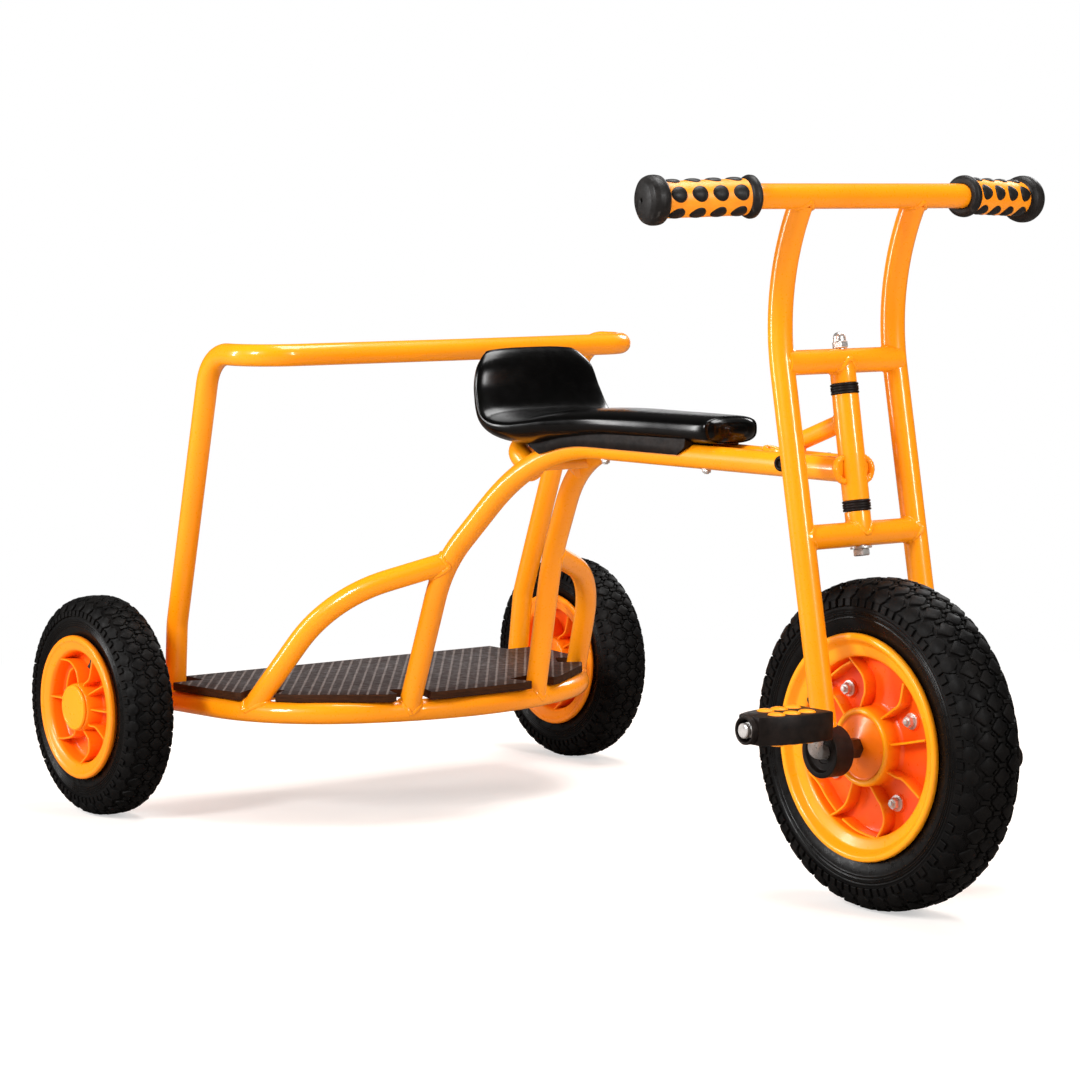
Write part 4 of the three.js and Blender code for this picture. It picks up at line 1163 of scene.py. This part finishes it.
def drill(obj, at, side, small, large):
    """Takes the spindle bore and the nut's recess out of a pedal block."""
    bore = straight(at - V(0, side * 60, 0), at + V(0, side * 60, 0), small, 40)
    recess = straight(V(at[0], side * 188.0, at[2]), V(at[0], side * 230, at[2]), large, 48)
    for n, (points, faces) in enumerate((bore, recess)):
        mesh = bpy.data.meshes.new(f"drill_{n}")
        mesh.from_pydata([tuple(p) for p in points * MM], [], faces)
        bm = bmesh.new()
        bm.from_mesh(mesh)
        bmesh.ops.remove_doubles(bm, verts=bm.verts, dist=1e-6)
        bmesh.ops.recalc_face_normals(bm, faces=bm.faces)
        bm.to_mesh(mesh)
        bm.free()
        tool = bpy.data.objects.new(f"drill_{n}", mesh)
        bpy.context.scene.collection.objects.link(tool)
        cut = obj.modifiers.new("cut", "BOOLEAN")
        cut.operation = "DIFFERENCE"
        cut.object = tool
        cut.solver = "EXACT"
        apply_modifiers(obj)
        bpy.data.objects.remove(tool)
    obj.data.set_sharp_from_angle(angle=math.radians(30))


def dome(at, sign, rx, ry, height):
    rings, around = 7, 28
    pts = []
    for i in range(rings):
        a = i / (rings - 1) * math.pi / 2
        for k in range(around):
            b = 2 * math.pi * k / around
            pts.append(at + V(rx * math.cos(a) * math.cos(b), ry * math.cos(a) * math.sin(b), sign * height * math.sin(a) ** 0.9))
    faces = ring_faces(rings, around)
    faces.append(tuple(range(around - 1, -1, -1)))
    return np.array(pts), faces


def rear_wheels():
    for label, side in SIDES:
        c = V(RX, side * TRACK_Y, RZ)
        body = f"rear_wheel_{label}"
        tyre(f"rear_tyre_tread_{label}", body, f"rear_tyre_{label}", c, 122.5, 73.4, 27.5, 38, 6.9, 13.2, 180)
        half = [(6.4, 33), (25.5, 33), (26.4, 31.5), (27.5, 24), (29, 14), (32, 12.5), (58, 12.5), (61, 15), (62, 27),
                (64, 30.2), (68, 31.6), (72.5, 32.6), (74.5, 34), (78.2, 34), (80, 32), (80, 28), (76.5, 25), (73, 23.5), (73, 7)]
        shape = lathe(rim_profile(half), c, V(0, 1, 0), 150)
        parts = [shape]
        for face in (-1, 1):
            mirror = [[(r, a if face == side else 180 - a) for r, a in stations] for stations in REAR_RIBS]
            turned = [[(r, a if side < 0 else 180 - a) for r, a in stations] for stations in mirror]
            parts += [rib(c, stations, 12.5, 29.5, 2.2, face=face) for stations in turned]
        shape = merged(*parts)
        # Painted shade: the rear rims start 0.30 down the shade ramp, deeper red-orange than the front rim, and deepen
        # further towards the dish floor.
        build(f"rear_rim_moulding_{label}", shape, RIM, body, [f"rear_rim_{label}"], "rim_plastic",
              attribute=0.30 + 0.6 * painted_dish_shade(shape[0], c, 10, 31))
        cap = [(0, 0), (25, 0), (25.4, 1.6), (24.2, 3.4), (21.5, 3.7), (20.8, 3.3), (12, 4.2), (0, 4.5)]
        shape = lathe(filleted(cap, 0.5, closed=False), c + V(0, side * 33.3, 0), V(0, side, 0), 72, False)
        # The hub cap takes a fixed 0.15 on the same ramp.
        build(f"hub_cap_disc_{label}", shape, RIM, body, [f"hub_cap_{label}"], "rim_plastic",
              attribute=np.full(len(shape[0]), 0.15))
        a = math.radians(66)
        out = V(math.cos(a), 0, math.sin(a))
        at = c + out * 64 + V(0, side * 20, 0)
        stem = lathe(filleted([(0, 0), (4.6, 0), (4.4, 8), (3.4, 9.5), (3.4, 15), (0, 15.6)], 0.4, closed=False), at,
                     unit(-0.94 * out + V(0, side * 0.34, 0)), 28, False)
        build(f"rear_valve_stem_{label}", stem, RUBBER, body, slot="black_rubber")


# ---- studio ----
def studio():
    mesh = bpy.data.meshes.new("studio_floor")
    mesh.from_pydata([(-30, -30, 0), (30, -30, 0), (30, 30, 0), (-30, 30, 0)], [], [(0, 1, 2, 3)])
    floor = bpy.data.objects.new("studio_floor", mesh)
    bpy.context.scene.collection.objects.link(floor)
    look = Look("studio_floor_pale", Roughness=0.9, Specular_IOR_Level=0.1)
    pale = look.ramp(look.noise(0.6, 2.0), (0.3, (0.56, 0.54, 0.52)), (0.7, (0.60, 0.58, 0.56)))
    rays = look.node("LightPath")
    seen = rays.outputs["Is Camera Ray"]
    look.colour(look.mix(rays.outputs["Is Glossy Ray"], pale, (0.14, 0.135, 0.13)))
    look.shader.inputs["Emission Color"].default_value = (1, 1, 1, 1)
    look.links.new(look.math("MULTIPLY", seen, 0.52), look.shader.inputs["Emission Strength"])
    reach = look.node("VectorMath", {0: look.place}, operation="LENGTH").outputs["Value"]
    fade = look.math("MULTIPLY", look.range(reach, 0.75, 1.7, 0.0, 1.0), seen)
    glow = look.node("Emission", {"Color": (1, 1, 1, 1), "Strength": 1.0}).outputs["Emission"]
    blend = look.node("MixShader", {"Fac": fade})
    look.links.new(look.shader.outputs["BSDF"], blend.inputs[1])
    look.links.new(glow, blend.inputs[2])
    look.links.new(blend.outputs["Shader"], look.nodes["Material Output"].inputs["Surface"])
    mesh.materials.append(look.material)

    world = bpy.data.worlds.new("studio")
    bpy.context.scene.world = world
    world.use_nodes = True
    nodes, links = world.node_tree.nodes, world.node_tree.links
    background = nodes["Background"]
    background.inputs["Strength"].default_value = 1.0
    path = nodes.new("ShaderNodeLightPath")
    mix = nodes.new("ShaderNodeMix")
    mix.data_type = "RGBA"
    mix.inputs[6].default_value = (0.42, 0.24, 0.14, 1)
    mix.inputs[7].default_value = (0.045, 0.043, 0.042, 1)
    plain = nodes.new("ShaderNodeMix")
    plain.data_type = "RGBA"
    plain.inputs[7].default_value = (1, 1, 1, 1)
    links.new(path.outputs["Is Glossy Ray"], mix.inputs[0])
    links.new(mix.outputs[2], plain.inputs[6])
    links.new(path.outputs["Is Camera Ray"], plain.inputs[0])
    links.new(plain.outputs[2], background.inputs["Color"])


def softbox(name, at, aim, size, power, spread=180):
    data = bpy.data.lights.new(name, "AREA")
    data.shape = "RECTANGLE"
    data.size, data.size_y = size
    data.energy = power
    light = bpy.data.objects.new(name, data)
    bpy.context.scene.collection.objects.link(light)
    light.location = at
    light.rotation_euler = (Vector(aim) - Vector(at)).to_track_quat("-Z", "Y").to_euler()


def lights():
    softbox("key_left", (0.6, -3.4, 2.1), (0, 0, 0.4), (0.8, 1.3), 118)
    softbox("front_right", (3.6, 0.4, 1.7), (0.1, 0, 0.35), (0.5, 1.3), 66)
    softbox("top", (0.1, 0.7, 3.3), (0, 0, 0), (2.0, 1.4), 96)
    softbox("side_left", (-1.7, -2.4, 1.05), (0, 0, 0.45), (0.35, 1.5), 44)
    softbox("back_right", (-1.2, 3.0, 1.9), (0, 0, 0.3), (1.0, 0.8), 26)
    softbox("horizon", (-3.2, 2.4, 0.6), (0, 0, 0.45), (2.6, 0.8), 8)


CAMERA_AT = (2.84085, -2.20989, 0.67279)
CAMERA_AZ = math.radians(53.12)
CAMERA_EL = math.radians(5.55)
CAMERA_ROLL = math.radians(-0.25)
CAMERA_LENS = 114.17


def camera():
    back = V(math.sin(CAMERA_AZ) * math.cos(CAMERA_EL), -math.cos(CAMERA_AZ) * math.cos(CAMERA_EL), math.sin(CAMERA_EL))
    right = V(math.cos(CAMERA_AZ), math.sin(CAMERA_AZ), 0)
    up = np.cross(back, right)
    c, s = math.cos(CAMERA_ROLL), math.sin(CAMERA_ROLL)
    right, up = right * c + up * s, -right * s + up * c
    data = bpy.data.cameras.new("studio_camera")
    data.lens = CAMERA_LENS
    data.sensor_width = 36
    data.clip_end = 100
    obj = bpy.data.objects.new("studio_camera", data)
    bpy.context.scene.collection.objects.link(obj)
    turn = Matrix([[right[i], up[i], back[i]] for i in range(3)]).to_4x4()
    obj.matrix_world = Matrix.Translation(CAMERA_AT) @ turn
    bpy.context.scene.camera = obj


frame_tubes()
frame_welds()
platform()
seat()
seat_skirt()
seat_bolts()
buffers()
fork()
steering_column()
grips()
housings()
front_wheel()
crank()
pedals()
rear_wheels()
studio()
lights()
camera()
bpy.context.scene.view_settings.view_transform = "Standard"
